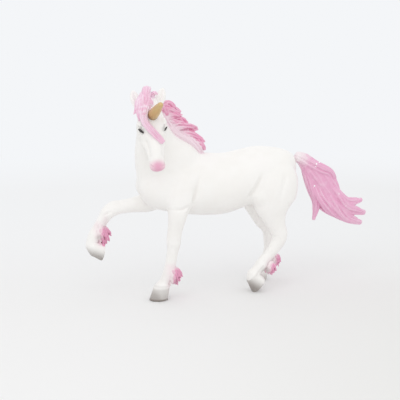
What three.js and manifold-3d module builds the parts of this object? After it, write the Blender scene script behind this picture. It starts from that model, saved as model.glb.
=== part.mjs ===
// A toy unicorn of painted soft PVC. It faces -X, its left side is -Y, and it stands on z = 0.
// Its mouldings are glued together over locating pegs: torso, head with neck, four legs, mane,
// forelock, horn and tail. Hooves and fetlock feathers are moulded with the legs.
import * as THREE from "three";
import { mergeVertices } from "three/addons/utils/BufferGeometryUtils.js";
import Module from "manifold-3d";

const wasm = await Module();
wasm.setup();

// Driving dimensions, in millimetres and degrees.

// Trunk
const FOREHAND = 24; // breast ahead of the elbow line, where x = 0
const TRUNK_LENGTH = 84.5; // breast to buttock
const WITHERS_HEIGHT = 71.5;
const CROUP_HEIGHT = 73.2;
const BARREL_DEPTH = 31.8; // withers to belly
const BARREL_WIDTH = 28;

// Neck and head
const NECK_RISE = 26; // poll above the withers
const NECK_BEND = 8; // poll to the left of the middle plane
const NECK_DEPTH = 15; // behind the jaw
const NECK_WIDTH = 13;
const HEAD_LENGTH = 33.5; // poll to lips
const HEAD_WIDTH = 16; // over the cheeks
const MUZZLE_WIDTH = 8;
const HEAD_TURN = 80; // to the left of straight ahead
const HEAD_TILT = 22; // nose ahead of the plumb line
const HEAD_ROLL = 4; // chin to the left
const EAR_LENGTH = 8.8;
const EAR_WIDTH = 4.6;
const HORN_LENGTH = 19;
const HORN_BASE = 5;
const HORN_TIP = 2.2;
const HORN_TURNS = 2;
const HORN_SINK = 1.5; // the horn's foot follows the forehead this far down
const HORN_RISE = 22; // above the level
const HORN_LEAN = 4; // to its left

// Legs; heights are over the ground
const KNEE_HEIGHT = 30.5;
const HOCK_HEIGHT = 27.5;
const FETLOCK_HEIGHT = 13;
const RAISED_FOREARM = 21; // elbow to knee of the raised leg
const RAISED_CANNON = 14.5; // knee to fetlock of the raised leg
const KNEE_WIDTH = 7.3;
const CANNON_WIDTH = 5.5;
const FETLOCK_WIDTH = 6.3;
const HOOF_HEIGHT = 6.6;
const HOOF_WIDTH = 8.2;
const HOOF_LENGTH = 9.4; // toe to heel on the sole
const TOE_FLAT = 0.6; // depth of the flat on the toe that the left hind leg stands on
const FEATHER_LENGTH = 11;
const FEATHER_LOCK = 3.4;

// Hair
const MANE_SWEEP = 14; // a long lock, from the crest to its tip
const MANE_LOCK = 6;
const TAIL_REACH = 42; // dock to the furthest tip
const TAIL_DROP = 38; // dock to the lowest tip
const TAIL_WIDTH = 17; // seen from the side
const TAIL_THICKNESS = 9;

// Seams and pegs
const SEAM = 0.3; // clearance between glued faces
const PEG_WIDTH = 3.4;
const PEG_LENGTH = 4.5;
const PEG_OVAL = 1.4; // pegs are oval, so that a piece can't turn on its peg
const RIB_WIDTH = 2; // the mane's rib, in the groove of the crest

const WHITE = 0xf4f2ee;
const PINK = 0xe7a9c6;
const GOLD = 0xc9a35c;

const V = (x, y, z) => new THREE.Vector3(x, y, z);
const turn = (degrees) => THREE.MathUtils.degToRad(degrees);
const between = THREE.MathUtils.lerp;

// Solids

// A closed body from a geometry, with its shared vertices merged.
function solid(geometry) {
  const bare = geometry.clone();
  bare.deleteAttribute("normal");
  bare.deleteAttribute("uv");
  const merged = mergeVertices(bare, 1e-4);
  return new wasm.Manifold(
    new wasm.Mesh({
      numProp: 3,
      vertProperties: merged.attributes.position.array,
      triVerts: new Uint32Array(merged.index.array),
    }),
  );
}

const join = (solids) => solids.reduce((all, next) => all.add(next));

// A station of a run: its centre and its half sizes to the sides, to the front and to the back,
// and the direction of its side where that changes along the run.
const ring = (at, out, front, back, side) => ({ at, half: [out, front, back], side });

// The run through a row of stations: what lies at a share t of it. The rings stand square to the
// run, or to `axis` where one is given. Depth points to the back: up on the trunk, and to the
// throat on the neck.
function runThrough(stations, side = [0, 1, 0], axis) {
  const curve = (pick, type) =>
    new THREE.CatmullRomCurve3(stations.map((s) => V(...pick(s))), false, type, 0.5);
  const centres = curve((s) => s.at, "centripetal");
  const halves = curve((s) => s.half, "catmullrom");
  const flanks = curve((s) => s.side ?? side, "catmullrom");
  return (t) => {
    const along = axis ? V(...axis) : centres.getTangent(t);
    const across = flanks.getPoint(t).projectOnPlane(along).normalize();
    const depth = along.clone().cross(across);
    return { centre: centres.getPoint(t), along, across, depth, half: halves.getPoint(t) };
  };
}

// A smooth skin round such a run, with a dome or a flat at each end.
function skin(stations, { sides = 12, steps = 2, side, axis, grow = 0, domes = [1, 1] } = {}) {
  const run = runThrough(stations, side, axis);
  const count = (stations.length - 1) * steps;
  const rings = Array.from({ length: count + 1 }, (_, i) => run(i / count));
  for (const { half } of rings) half.addScalar(grow);

  const ends = [rings[0], rings[count]];
  const reach = ends.map(({ half }, i) => (i ? 1 : -1) * domes[i] * Math.min(half.x, half.y));
  const dome = (i) =>
    [30, 60].map((angle) => ({
      ...ends[i],
      centre: ends[i].centre.clone().addScaledVector(ends[i].along, reach[i] * Math.sin(turn(angle))),
      half: ends[i].half.clone().multiplyScalar(Math.cos(turn(angle))),
    }));
  if (domes[0]) rings.unshift(...dome(0).reverse());
  if (domes[1]) rings.push(...dome(1));

  const points = [];
  for (const { centre, across, depth, half } of rings) {
    for (let j = 0; j < sides; j++) {
      const angle = (2 * Math.PI * j) / sides;
      const deep = Math.sin(angle) * (Math.sin(angle) > 0 ? half.z : half.y);
      const point = centre.clone().addScaledVector(across, half.x * Math.cos(angle));
      points.push(...point.addScaledVector(depth, deep));
    }
  }
  const pole = points.length / 3;
  ends.forEach(({ centre, along }, i) => points.push(...centre.clone().addScaledVector(along, reach[i])));

  const faces = [];
  const last = (rings.length - 1) * sides;
  for (let j = 0; j < sides; j++) {
    const k = (j + 1) % sides;
    faces.push(pole, k, j, pole + 1, last + j, last + k);
    for (let i = 0; i < last; i += sides) {
      faces.push(i + j, i + k, i + sides + k, i + j, i + sides + k, i + sides + j);
    }
  }
  const geometry = new THREE.BufferGeometry();
  geometry.setAttribute("position", new THREE.Float32BufferAttribute(points, 3));
  return geometry.setIndex(faces);
}

// An egg: a sphere drawn out to three half sizes.
function egg(at, half, segments = 12) {
  const sphere = new THREE.SphereGeometry(1, segments, segments / 2);
  return sphere.scale(...half).translate(...at);
}

// A tapering lock of hair through a few points, fullest at a third of its run.
const LOCK_TAPER = [0.64, 0.96, 1, 0.86, 0.58, 0.06];
function lock(points, width, thick, { side, grow } = {}) {
  const curve = new THREE.CatmullRomCurve3(points.map((p) => V(...p)));
  const stations = LOCK_TAPER.map((share, i) => {
    const at = curve.getPoint(i / (LOCK_TAPER.length - 1)).toArray();
    return ring(at, (share * thick) / 2, (share * width) / 2, (share * width) / 2);
  });
  return solid(skin(stations, { sides: 6, steps: 1, side, grow, domes: [0, 0] }));
}

// Everything beyond a plane, as a large block whose face lies on it.
function beyond(at, outward) {
  const reach = 4 * TRUNK_LENGTH;
  const block = new THREE.BoxGeometry(reach, reach, reach).translate(0, 0, reach / 2);
  block.applyQuaternion(new THREE.Quaternion().setFromUnitVectors(V(0, 0, 1), outward));
  return solid(block.translate(...at));
}

// A locating peg: it starts a little inside its own piece and points along `inward`.
function peg(at, inward, size = 1, grow = 0) {
  const radius = (size * PEG_WIDTH) / 2 + grow;
  const root = 0.35 * PEG_WIDTH;
  const length = root + size * PEG_LENGTH + grow;
  const pin = new THREE.CylinderGeometry(0.85 * radius, radius, length, 10);
  pin.scale(PEG_OVAL, 1, 1).translate(0, length / 2 - root, 0);
  pin.applyQuaternion(new THREE.Quaternion().setFromUnitVectors(V(0, 1, 0), inward));
  return solid(pin.translate(...at));
}

// A seam: a plane across the body with the clearance in the middle of it, and the peg of the
// outer piece in the socket of the torso.
function seam(at, normal, size) {
  const outward = V(...normal).normalize();
  const face = (way) => V(...at).addScaledVector(outward, (way * SEAM) / 2);
  const inward = outward.clone().negate();
  return {
    outer: beyond(face(1), outward),
    inner: beyond(face(-1), outward),
    peg: peg(at, inward, size),
    socket: peg(at, inward, size, SEAM),
  };
}

// Trunk: stations along the body, from the underside to the top line.

const belly = WITHERS_HEIGHT - BARREL_DEPTH;

// A point of the trunk, as shares of its length, half width and depth.
function trunkPoint(along, out, up) {
  const x = along * TRUNK_LENGTH - FOREHAND;
  return [x, (out * BARREL_WIDTH) / 2, belly + up * BARREL_DEPTH];
}

const croup = (CROUP_HEIGHT - belly) / BARREL_DEPTH;
const TRUNK_STATIONS = [
  // share of the length, top line, underside, widest level, half width
  [0.015, 0.66, 0.38, 0.52, 0.42],
  [0.05, 0.82, 0.24, 0.5, 0.7],
  [0.15, 0.97, 0.12, 0.46, 0.86],
  [0.285, 1.0, 0.06, 0.42, 0.92],
  [0.405, 1.0, 0.0, 0.44, 0.98],
  [0.525, 0.97, 0.0, 0.46, 1.0],
  [0.64, 0.965 * croup, 0.07, 0.5, 0.98],
  [0.74, croup, 0.17, 0.55, 0.94],
  [0.88, 0.92 * croup, 0.3, 0.6, 0.82],
  [0.965, 0.84 * croup, 0.48, 0.66, 0.5],
];

function trunk(grow = 0) {
  const stations = TRUNK_STATIONS.map(([along, top, under, level, out]) =>
    ring(
      trunkPoint(along, 0, level),
      (out * BARREL_WIDTH) / 2,
      (level - under) * BARREL_DEPTH,
      (top - level) * BARREL_DEPTH,
    ),
  );
  return solid(skin(stations, { sides: 18, axis: [1, 0, 0], domes: [0.2, 0.45], grow }));
}

// Head: built nose down in its own frame, with the poll at the origin, the face to +Z and the
// left side to +X, then rolled, tilted and turned to its place.

const poll = V(-0.9 * FOREHAND, -NECK_BEND, WITHERS_HEIGHT + NECK_RISE);
const headTurn = new THREE.Matrix4()
  .makeRotationZ(turn(HEAD_TURN - 90))
  .multiply(new THREE.Matrix4().makeRotationX(turn(90 - HEAD_TILT)))
  .multiply(new THREE.Matrix4().makeRotationZ(turn(HEAD_ROLL)));
const headPlace = headTurn.clone().setPosition(poll);

// A point of the head: shares of its width to the left, its length down, its length forward.
const facePoint = (left, down, out) => [left * HEAD_WIDTH, -down * HEAD_LENGTH, out * HEAD_LENGTH];
const onHead = (...shares) => V(...facePoint(...shares)).applyMatrix4(headPlace).toArray();

const HEAD_STATIONS = [
  // share of the length, half width, jaw side, face side
  [0.02, 0.3, 0.11, 0.1],
  [0.13, 0.4, 0.2, 0.145],
  [0.27, 0.46, 0.27, 0.16],
  [0.4, 0.47, 0.285, 0.155],
  [0.53, 0.375, 0.235, 0.14],
];
const MUZZLE_STATIONS = [
  [0.68, 0.53, 0.15, 0.125],
  [0.83, 0.49, 0.115, 0.105],
  [0.94, 0.48, 0.11, 0.085],
];

function skull(grow = 0) {
  const stationsOf = (rows, width) =>
    rows.map(([down, out, jaw, face]) =>
      ring(facePoint(0, down, 0), out * width, jaw * HEAD_LENGTH, face * HEAD_LENGTH),
    );
  const stations = [
    ...stationsOf(HEAD_STATIONS, HEAD_WIDTH),
    ...stationsOf(MUZZLE_STATIONS, MUZZLE_WIDTH),
  ];
  const form = skin(stations, { sides: 14, side: [1, 0, 0], domes: [0.9, 0.75], grow });
  const eyeball = [0.094, 0.138, 0.119].map((share) => share * HEAD_WIDTH + grow);
  const eyes = [-1, 1].map((way) => egg(facePoint(way * 0.37, 0.41, 0.06), eyeball, 8));
  return join([form, ...eyes].map((part) => solid(part.applyMatrix4(headPlace))));
}

function head() {
  const dent = [0.11, 0.14, 0.1].map((share) => share * MUZZLE_WIDTH);
  const nostril = (way) => egg(facePoint(way * 0.23, 0.93, 0.05), dent, 8);
  const dents = [-1, 1].map((way) => solid(nostril(way).applyMatrix4(headPlace)));
  return skull().subtract(join(dents));
}

// An ear: a leaf that stands on the poll, leaning out, cupped towards the face.
function ear(way, grow = 0) {
  const shape = [0.32, 0.46, 0.5, 0.44, 0.28, 0.06];
  const leaf = (scale, forward, more) => {
    const stations = shape.map((share, i) => {
      const up = i / (shape.length - 1);
      const lean = way > 0 ? 0.42 : 0.2;
      const x = way * (0.3 * HEAD_WIDTH + lean * EAR_LENGTH * up);
      const z = forward - 0.03 * HEAD_LENGTH - 0.05 * EAR_LENGTH * Math.sin(Math.PI * up);
      const half = share * scale * EAR_WIDTH;
      return ring([x, EAR_LENGTH * (up - 0.16), z], half, 0.6 * half, 0.6 * half);
    });
    const form = skin(stations, { sides: 8, steps: 1, side: [1, 0, 0], grow: more, domes: [0, 0] });
    return solid(form.applyMatrix4(headPlace));
  };
  return grow ? leaf(1, 0, grow) : leaf(1, 0, 0).subtract(leaf(0.7, 0.24 * EAR_WIDTH, 0));
}

// Neck: from the shoulders up to the poll, bending and twisting to the left with the head.

const neckFoot = trunkPoint(0.2, 0, 0.78);
const neckTop = [poll.x + 0.1 * NECK_DEPTH, poll.y, poll.z - 0.2 * NECK_DEPTH];
const NECK_STATIONS = [
  // share of the rise, half width, crest side, throat side, bend, twist
  [-0.2, 0.72, 1.08, 1.16, 0, 0],
  [0.12, 0.74, 1.02, 1.2, 0.02, 0.02],
  [0.4, 0.58, 0.7, 0.92, 0.2, 0.14],
  [0.66, 0.48, 0.56, 0.66, 0.48, 0.34],
  [0.88, 0.42, 0.44, 0.47, 0.78, 0.56],
  [1.02, 0.35, 0.34, 0.34, 0.96, 0.75],
].map(([rise, out, crest, throat, bend, twist]) => {
  const arch = rise + 0.2 * Math.sin(Math.PI * rise);
  const swing = turn(twist * HEAD_TURN);
  return ring(
    [between(neckFoot[0], neckTop[0], arch), bend * neckTop[1], between(neckFoot[2], neckTop[2], rise)],
    out * NECK_WIDTH,
    crest * NECK_DEPTH,
    throat * NECK_DEPTH,
    [-Math.sin(swing), Math.cos(swing), 0],
  );
});
const neck = (grow = 0) => solid(skin(NECK_STATIONS, { sides: 16, grow }));
const neckRun = runThrough(NECK_STATIONS);

// Legs. The hoof's frame has the coronet at the origin, the toe to -X and the sole facing -Z.

const HOOF_SLOPE = 0.26 * HOOF_HEIGHT; // how far the sole lies ahead of the coronet
const HOOF_TOE = 0.54 * HOOF_LENGTH;
const HOOF_HEEL = HOOF_LENGTH - HOOF_TOE;

function hoof(place) {
  const wall = [
    [0.2, 0.34, 0.6, 0.66],
    [0, 0.44, 0.82, 0.9],
    [-0.5, 0.47, 0.9, 0.95],
    [-1, 0.5, 1, 1],
  ].map(([up, out, toe, heel]) =>
    ring(
      [Math.min(up, 0) * HOOF_SLOPE, 0, up * HOOF_HEIGHT],
      out * HOOF_WIDTH,
      toe * HOOF_TOE,
      heel * HOOF_HEEL,
    ),
  );
  const form = skin(wall, { sides: 14, steps: 1, axis: [0, 0, -1], domes: [0.4, 0] });
  return solid(form.applyMatrix4(place));
}

const hoofPlace = (at, toeDown = 0) =>
  new THREE.Matrix4().makeRotationY(turn(-toeDown)).setPosition(...at);

// A fetlock feather: locks from the back of the cannon, the middle one furthest to the back and
// the outer ones lowest beside the fetlock.
function feather(root, lift = 0) {
  const tips = [
    [0.1, -0.3, -0.98],
    [0.44, -0.2, -0.84],
    [0.58, 0.02, -0.56],
    [0.46, 0.2, -0.8],
    [0.12, 0.3, -0.96],
  ];
  const locks = tips.map((shares) => {
    const tip = V(...shares).multiplyScalar(FEATHER_LENGTH).applyAxisAngle(V(0, 1, 0), -turn(lift));
    const start = [root[0] - 0.25 * FEATHER_LOCK, root[1] + 0.3 * tip.y, root[2]];
    const bulge = V(0.32 * FEATHER_LOCK, 0.35 * tip.y, 0.2 * FEATHER_LOCK);
    const middle = V(...root).addScaledVector(tip, 0.5).add(bulge);
    const path = [start, middle.toArray(), tip.add(V(...root)).toArray()];
    return lock(path, FEATHER_LOCK, 0.8 * FEATHER_LOCK);
  });
  return join(locks);
}

const knee = KNEE_WIDTH / 2;
const cannon = CANNON_WIDTH / 2;
const fetlock = FETLOCK_WIDTH / 2;
const foreCannon = (share) => between(FETLOCK_HEIGHT, KNEE_HEIGHT, share);
const hindCannon = (share) => between(FETLOCK_HEIGHT, HOCK_HEIGHT, share);
const pastern = between(HOOF_HEIGHT, FETLOCK_HEIGHT, 0.46);
const ahead = (share) => -share * FOREHAND; // of the elbow line
const stride = (share) => share * HOCK_HEIGHT; // along the ground, on the hind legs

// Left foreleg: it stands flat, slanting a little forward and inward from the elbow.
function leftForeleg() {
  const out = (share) => (-share * BARREL_WIDTH) / 2;
  const foot = [ahead(0.6), out(0.42), HOOF_HEIGHT];
  const stations = [
    ring(trunkPoint(0.27, -0.4, 0.72), 0.88 * knee, 1.6 * knee, 1.35 * knee),
    ring(trunkPoint(0.235, -0.63, 0.55), 1.25 * knee, 2.4 * knee, 2.15 * knee),
    ring(trunkPoint(0.21, -0.72, 0.33), 1.34 * knee, 2 * knee, 1.8 * knee),
    ring(trunkPoint(0.195, -0.74, 0.1), 1.28 * knee, 1.5 * knee, 1.36 * knee),
    ring([ahead(0.363), out(0.68), between(KNEE_HEIGHT, belly, 0.62)], knee, 1.08 * knee, 1.02 * knee),
    ring([ahead(0.375), out(0.62), KNEE_HEIGHT], knee, 1.04 * knee, 0.96 * knee),
    ring([ahead(0.404), out(0.58), foreCannon(0.71)], 1.06 * cannon, 1.06 * cannon, 1.1 * cannon),
    ring([ahead(0.43), out(0.53), foreCannon(0.42)], 0.93 * cannon, cannon, cannon),
    ring([ahead(0.47), out(0.47), FETLOCK_HEIGHT], fetlock, 0.95 * fetlock, fetlock),
    ring([ahead(0.54), out(0.43), pastern], 0.88 * fetlock, 0.84 * fetlock, 0.9 * fetlock),
    ring([foot[0], foot[1], 0.92 * HOOF_HEIGHT], fetlock, 1.15 * fetlock, 1.1 * fetlock),
  ];
  return { stations, place: hoofPlace(foot), tuft: [ahead(0.39), out(0.48), foreCannon(0.2)] };
}

// Right foreleg: the forearm reaches forward, the knee is bent and the foot is folded back.
function rightForeleg() {
  const elbow = V(...trunkPoint(0.115, 0.68, 0.24));
  const kneeAt = elbow.clone().addScaledVector(V(-0.98, 0.06, -0.17).normalize(), RAISED_FOREARM);
  const fetlockAt = kneeAt.clone().addScaledVector(V(-0.55, 0, -0.83).normalize(), RAISED_CANNON);
  const foot = fetlockAt.clone().add(V(-0.33 * HOOF_HEIGHT, 0, -0.96 * HOOF_HEIGHT));
  const forearm = (share) => elbow.clone().lerp(kneeAt, share).toArray();
  const shin = (share) => kneeAt.clone().lerp(fetlockAt, share).toArray();
  const stations = [
    ring(trunkPoint(0.28, 0.4, 0.7), 0.88 * knee, 1.5 * knee, 1.75 * knee),
    ring(trunkPoint(0.19, 0.6, 0.45), 1.3 * knee, 2.2 * knee, 2.3 * knee),
    ring(forearm(0.05), 1.34 * knee, 1.48 * knee, 1.64 * knee),
    ring(forearm(0.42), 1.2 * knee, 1.05 * knee, 1.2 * knee),
    ring(forearm(0.76), knee, 0.86 * knee, 0.9 * knee),
    ring(forearm(0.98), knee, 0.9 * knee, 1.06 * knee),
    ring(shin(0.24), 1.05 * cannon, 1.02 * cannon, 1.1 * cannon),
    ring(shin(0.6), 0.93 * cannon, cannon, cannon),
    ring(shin(0.98), fetlock, fetlock, fetlock),
    ring(fetlockAt.clone().lerp(foot, 0.6).toArray(), 0.9 * fetlock, 0.94 * fetlock, fetlock),
    ring(foot.toArray(), fetlock, 1.05 * fetlock, 1.1 * fetlock),
  ];
  const tuft = kneeAt.clone().lerp(fetlockAt, 0.6).add(V(-0.25 * fetlock, 0, -0.13 * fetlock)).toArray();
  return { stations, place: hoofPlace(foot.toArray(), 80), tuft };
}

// A hind leg from the haunch to above the hock.
function haunch(way, hockX) {
  const out = (way * 0.72 * BARREL_WIDTH) / 2;
  return [
    ring(trunkPoint(0.86, way * 0.34, 0.82), 1.1 * knee, 2 * knee, 1.9 * knee),
    ring(trunkPoint(0.845, way * 0.56, 0.6), 1.7 * knee, 3.3 * knee, 3.3 * knee),
    ring(trunkPoint(0.81, way * 0.68, 0.3), 1.7 * knee, 3.72 * knee, 3.5 * knee),
    ring([hockX - stride(0.15), out, belly + 0.12 * BARREL_DEPTH], 1.45 * knee, 2.8 * knee, 2.7 * knee),
    ring([hockX - stride(0.125), out, between(HOCK_HEIGHT, belly, 0.85)], knee, 1.8 * knee, 1.75 * knee),
    ring([hockX - stride(0.07), out, between(HOCK_HEIGHT, belly, 0.42)], knee, 1.26 * knee, 1.3 * knee),
  ];
}

// Left hind leg: it steps on its toe, the cannon sloping forward from the hock.
function leftHindLeg() {
  const toeDown = 46;
  const toe = V(-HOOF_SLOPE - HOOF_TOE, 0, -HOOF_HEIGHT).applyMatrix4(hoofPlace([0, 0, 0], toeDown));
  const out = (-0.715 * BARREL_WIDTH) / 2;
  const hock = trunkPoint(0.852, 0, 0)[0];
  const foot = [hock - stride(0.553), out, -toe.z - TOE_FLAT];
  const stations = [
    ...haunch(-1, hock),
    ring([hock, out, HOCK_HEIGHT], 0.96 * knee, 1.1 * knee, 1.15 * knee),
    ring([hock - stride(0.095), out, hindCannon(0.68)], 1.1 * cannon, 1.2 * cannon, 1.3 * cannon),
    ring([hock - stride(0.233), out, hindCannon(0.38)], 0.95 * cannon, cannon, 1.05 * cannon),
    ring([hock - stride(0.407), out, 1.05 * FETLOCK_HEIGHT], fetlock, 0.95 * fetlock, fetlock),
    ring([hock - stride(0.51), out, 0.85 * FETLOCK_HEIGHT], 0.9 * fetlock, 0.84 * fetlock, 0.9 * fetlock),
    ring(foot, fetlock, 1.1 * fetlock, 1.1 * fetlock),
  ];
  const tuft = [hock - stride(0.175), out, hindCannon(0.36)];
  return { stations, place: hoofPlace(foot, toeDown), tuft, lift: -24 };
}

// Right hind leg: it stands flat, the cannon upright.
function rightHindLeg() {
  const out = (share) => (share * BARREL_WIDTH) / 2;
  const hock = trunkPoint(0.89, 0, 0)[0];
  const foot = [hock - stride(0.16), out(0.66), HOOF_HEIGHT];
  const stations = [
    ...haunch(1, trunkPoint(0.865, 0, 0)[0]),
    ring([hock, out(0.7), 0.98 * HOCK_HEIGHT], 0.96 * knee, 1.1 * knee, 1.15 * knee),
    ring([hock, out(0.68), hindCannon(0.64)], 1.1 * cannon, 1.2 * cannon, 1.3 * cannon),
    ring([hock, out(0.67), hindCannon(0.36)], 0.95 * cannon, cannon, 1.05 * cannon),
    ring([hock - stride(0.02), out(0.66), FETLOCK_HEIGHT], fetlock, 0.95 * fetlock, fetlock),
    ring([hock - stride(0.1), out(0.66), pastern], 0.88 * fetlock, 0.84 * fetlock, 0.9 * fetlock),
    ring([foot[0], foot[1], 0.92 * HOOF_HEIGHT], fetlock, 1.15 * fetlock, 1.1 * fetlock),
  ];
  return { stations, place: hoofPlace(foot), tuft: [hock + stride(0.05), out(0.66), hindCannon(0.22)] };
}

// Horn: a blunt cone with three soft lobes wound round it, pegged in the forehead.

const hornFoot = V(...onHead(0.02, 0.22, 0.15));
const hornAxis = V(0, 0, 1).transformDirection(headTurn).setZ(0).normalize();
hornAxis.applyAxisAngle(V(0, 0, 1), turn(HORN_LEAN));
hornAxis.multiplyScalar(Math.cos(turn(HORN_RISE))).setZ(Math.sin(turn(HORN_RISE)));

function horn(grow = 0) {
  const base = HORN_BASE / 2 + grow;
  const top = HORN_TIP / 2 + grow;
  const length = HORN_LENGTH + HORN_SINK;
  const cone = new THREE.CylinderGeometry(top, base, length, 12, 10).translate(0, -HORN_SINK / 2, 0);
  const points = cone.attributes.position;
  for (let i = 0; i < points.count; i++) {
    const p = V(points.getX(i), points.getY(i), points.getZ(i));
    const wind = Math.atan2(p.z, p.x) + 2 * Math.PI * HORN_TURNS * (p.y / HORN_LENGTH);
    const groove = 0.95 + 0.05 * Math.cos(3 * wind);
    points.setXYZ(i, groove * p.x, p.y, groove * p.z);
  }
  const tip = egg([0, HORN_LENGTH / 2, 0], [0.94 * top, 0.9 * top, 0.94 * top], 8);
  const place = new THREE.Matrix4()
    .makeRotationFromQuaternion(new THREE.Quaternion().setFromUnitVectors(V(0, 1, 0), hornAxis))
    .setPosition(hornFoot);
  const parts = [cone, tip].map((form) => form.translate(0, HORN_LENGTH / 2, 0).applyMatrix4(place));
  return join(parts.map(solid));
}

// Mane: locks from the crest, swept back, and a second row that falls on the right of the neck.

const crestAt = (t) => {
  const { centre, depth, half } = neckRun(t);
  return centre.addScaledVector(depth, -half.y);
};
const crest = new THREE.CatmullRomCurve3([
  ...[0.97, 0.84, 0.7, 0.55, 0.4, 0.27].map(crestAt),
  V(...trunkPoint(0.4, 0, 0.985)),
]);

function mane() {
  // share of the crest, and the tip over it: back, to the right and up, as shares of the sweep
  const rows = [
    [0.04, 0.5, 0.04, -0.03],
    [0.17, 0.77, 0.08, 0.13],
    [0.31, 0.87, 0.1, 0.08],
    [0.46, 0.97, 0.14, -0.05],
    [0.61, 1.13, 0.16, -0.03],
    [0.75, 1.08, 0.14, -0.28],
    [0.88, 0.66, 0.1, -0.32],
  ];
  const swept = rows.map(([share, back, right, up]) => {
    const root = crest.getPoint(share);
    const sweep = V(back, right, up).multiplyScalar(MANE_SWEEP);
    const start = root.clone().addScaledVector(sweep, -0.16);
    const arch = V(0, 0.06, 0.22).multiplyScalar(MANE_LOCK);
    const middle = root.clone().addScaledVector(sweep, 0.5).add(arch);
    const path = [start, middle, root.clone().add(sweep)].map((p) => p.toArray());
    return lock(path, MANE_LOCK, 0.7 * MANE_LOCK);
  });
  const falling = [0.88, 0.7, 0.52, 0.34].map((t) => {
    const onNeck = (angle, shift, off) => {
      const { centre, across, depth, half } = neckRun(t - shift);
      const swing = turn(angle);
      const out = off * MANE_LOCK;
      const point = centre.addScaledVector(depth, -(half.y + out) * Math.cos(swing));
      return point.addScaledVector(across, (half.x + out) * Math.sin(swing)).toArray();
    };
    const path = [onNeck(-6, 0, 0.06), onNeck(42, 0.02, 0.26), onNeck(88, 0.1, 0.14)];
    return lock(path, 1.2 * MANE_LOCK, 0.7 * MANE_LOCK, { side: [0.4, 0.8, 0.4] });
  });
  return join([...swept, ...falling]);
}

function maneRib(grow) {
  const stations = [0.06, 0.26, 0.46, 0.66, 0.84].map((t) =>
    ring(crest.getPoint(t).toArray(), ...Array(3).fill(RIB_WIDTH / 2)),
  );
  return solid(skin(stations, { sides: 6, grow }));
}

// Tail: a dock, a full body, and locks that part at their tips.

const dock = trunkPoint(0.995, 0, 0.84);
const tailPoint = (back, down, out = 0) => [
  dock[0] + back * TAIL_REACH,
  (out * TAIL_THICKNESS) / 2,
  dock[2] - down * TAIL_DROP,
];

function tail() {
  const body = [
    [0.03, 0.035, 0.24, 0.17],
    [0.22, 0.155, 0.38, 0.34],
    [0.36, 0.295, 0.46, 0.47],
    [0.475, 0.44, 0.5, 0.5],
    [0.57, 0.61, 0.44, 0.45],
    [0.68, 0.77, 0.26, 0.28],
  ].map(([back, down, thick, wide]) =>
    ring(tailPoint(back, down), thick * TAIL_THICKNESS, wide * TAIL_WIDTH, wide * TAIL_WIDTH),
  );
  const runs = [
    // start, middle and tip of a lock, and its width as a share of the tail's
    [[0.06, 0.02], [0.38, 0.1], [0.66, 0.34], 0.36],
    [[0.4, 0.22], [0.68, 0.54], [0.95, 0.69], 0.34],
    [[0.4, 0.36], [0.74, 0.68], [1.0, 0.85], 0.42],
    [[0.4, 0.5], [0.68, 0.83], [0.95, 0.97], 0.42],
    [[0.3, 0.5], [0.48, 0.77], [0.74, 0.95], 0.4],
    [[0.18, 0.2], [0.3, 0.52], [0.32, 0.87], 0.28],
  ];
  const locks = runs.flatMap(([start, middle, tip, width], i) =>
    [-1, 1].map((way) => {
      const path = [
        tailPoint(...start, way * 0.3),
        tailPoint(...middle, way * 0.62),
        tailPoint(...tip, way * (i % 2 ? 0.3 : 0.16)),
      ];
      return lock(path, width * TAIL_WIDTH, 0.62 * width * TAIL_WIDTH);
    }),
  );
  return join([solid(skin(body)), ...locks]);
}

// Forelock: a tuft between the ears, with one strand that crosses the face.
function forelock(grow) {
  const runs = [
    [[0.04, 0.06, 0], [-0.02, -0.2, 0.1], [-0.26, 0.1, 0.25], 0.32],
    [[-0.08, 0.05, 0], [-0.22, -0.1, 0.12], [-0.5, 0.17, 0.2], 0.32],
    [[0.1, 0.05, 0.02], [0.15, -0.12, 0.14], [-0.02, 0.1, 0.24], 0.26],
    [[-0.14, 0.02, 0.04], [-0.3, 0.1, 0.2], [-0.46, 0.33, 0.14], 0.26],
    [[-0.08, 0.02, 0.1], [-0.2, 0.28, 0.18], [0.34, 0.6, 0.14], 0.26],
  ];
  const side = V(1, 0, 0).transformDirection(headTurn).toArray();
  const locks = runs.map(([start, middle, tip, width]) => {
    const path = [start, middle, tip].map((shares) => onHead(...shares));
    return lock(path, 0.66 * width * HEAD_WIDTH, width * HEAD_WIDTH, { side, grow });
  });
  const crown = [0.26, 0.24, 0.26].map((share) => share * HEAD_WIDTH + grow);
  const cap = egg(facePoint(0, 0.01, 0.08), crown, 8);
  return join([solid(cap.applyMatrix4(headPlace)), ...locks]);
}

// Assembly. The white body is one form, parted at the seams; the hair is cut clear of it.

const seams = {
  head_and_neck: seam(trunkPoint(0.2, 0, 0.93), [-0.42, 0, 0.9], 1.5),
  left_foreleg: seam(trunkPoint(0.2, -0.76, 0.18), [-0.3, -0.56, -0.77]),
  right_foreleg: seam(trunkPoint(0.09, 0.64, 0.26), [-0.78, 0.42, -0.46]),
  left_hind_leg: seam(trunkPoint(0.8, -0.64, 0.26), [0.1, -0.46, -0.88]),
  right_hind_leg: seam(trunkPoint(0.8, 0.64, 0.26), [0.1, 0.46, -0.88]),
};
const corner = (way, front) => {
  const flank = trunkPoint(front ? 0.4 : 0.67, way * 0.26, 0.18);
  const along = V(front ? -1 : 1, 0, front ? 0 : -0.16).normalize();
  const aside = V(0, way, -0.14).normalize();
  return beyond(V(...flank), aside).intersect(beyond(V(...flank), along));
};
const corners = {
  left_foreleg: corner(-1, true),
  right_foreleg: corner(1, true),
  left_hind_leg: corner(-1, false),
  right_hind_leg: corner(1, false),
};
const plans = {
  left_foreleg: leftForeleg(),
  right_foreleg: rightForeleg(),
  left_hind_leg: leftHindLeg(),
  right_hind_leg: rightHindLeg(),
};
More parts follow.
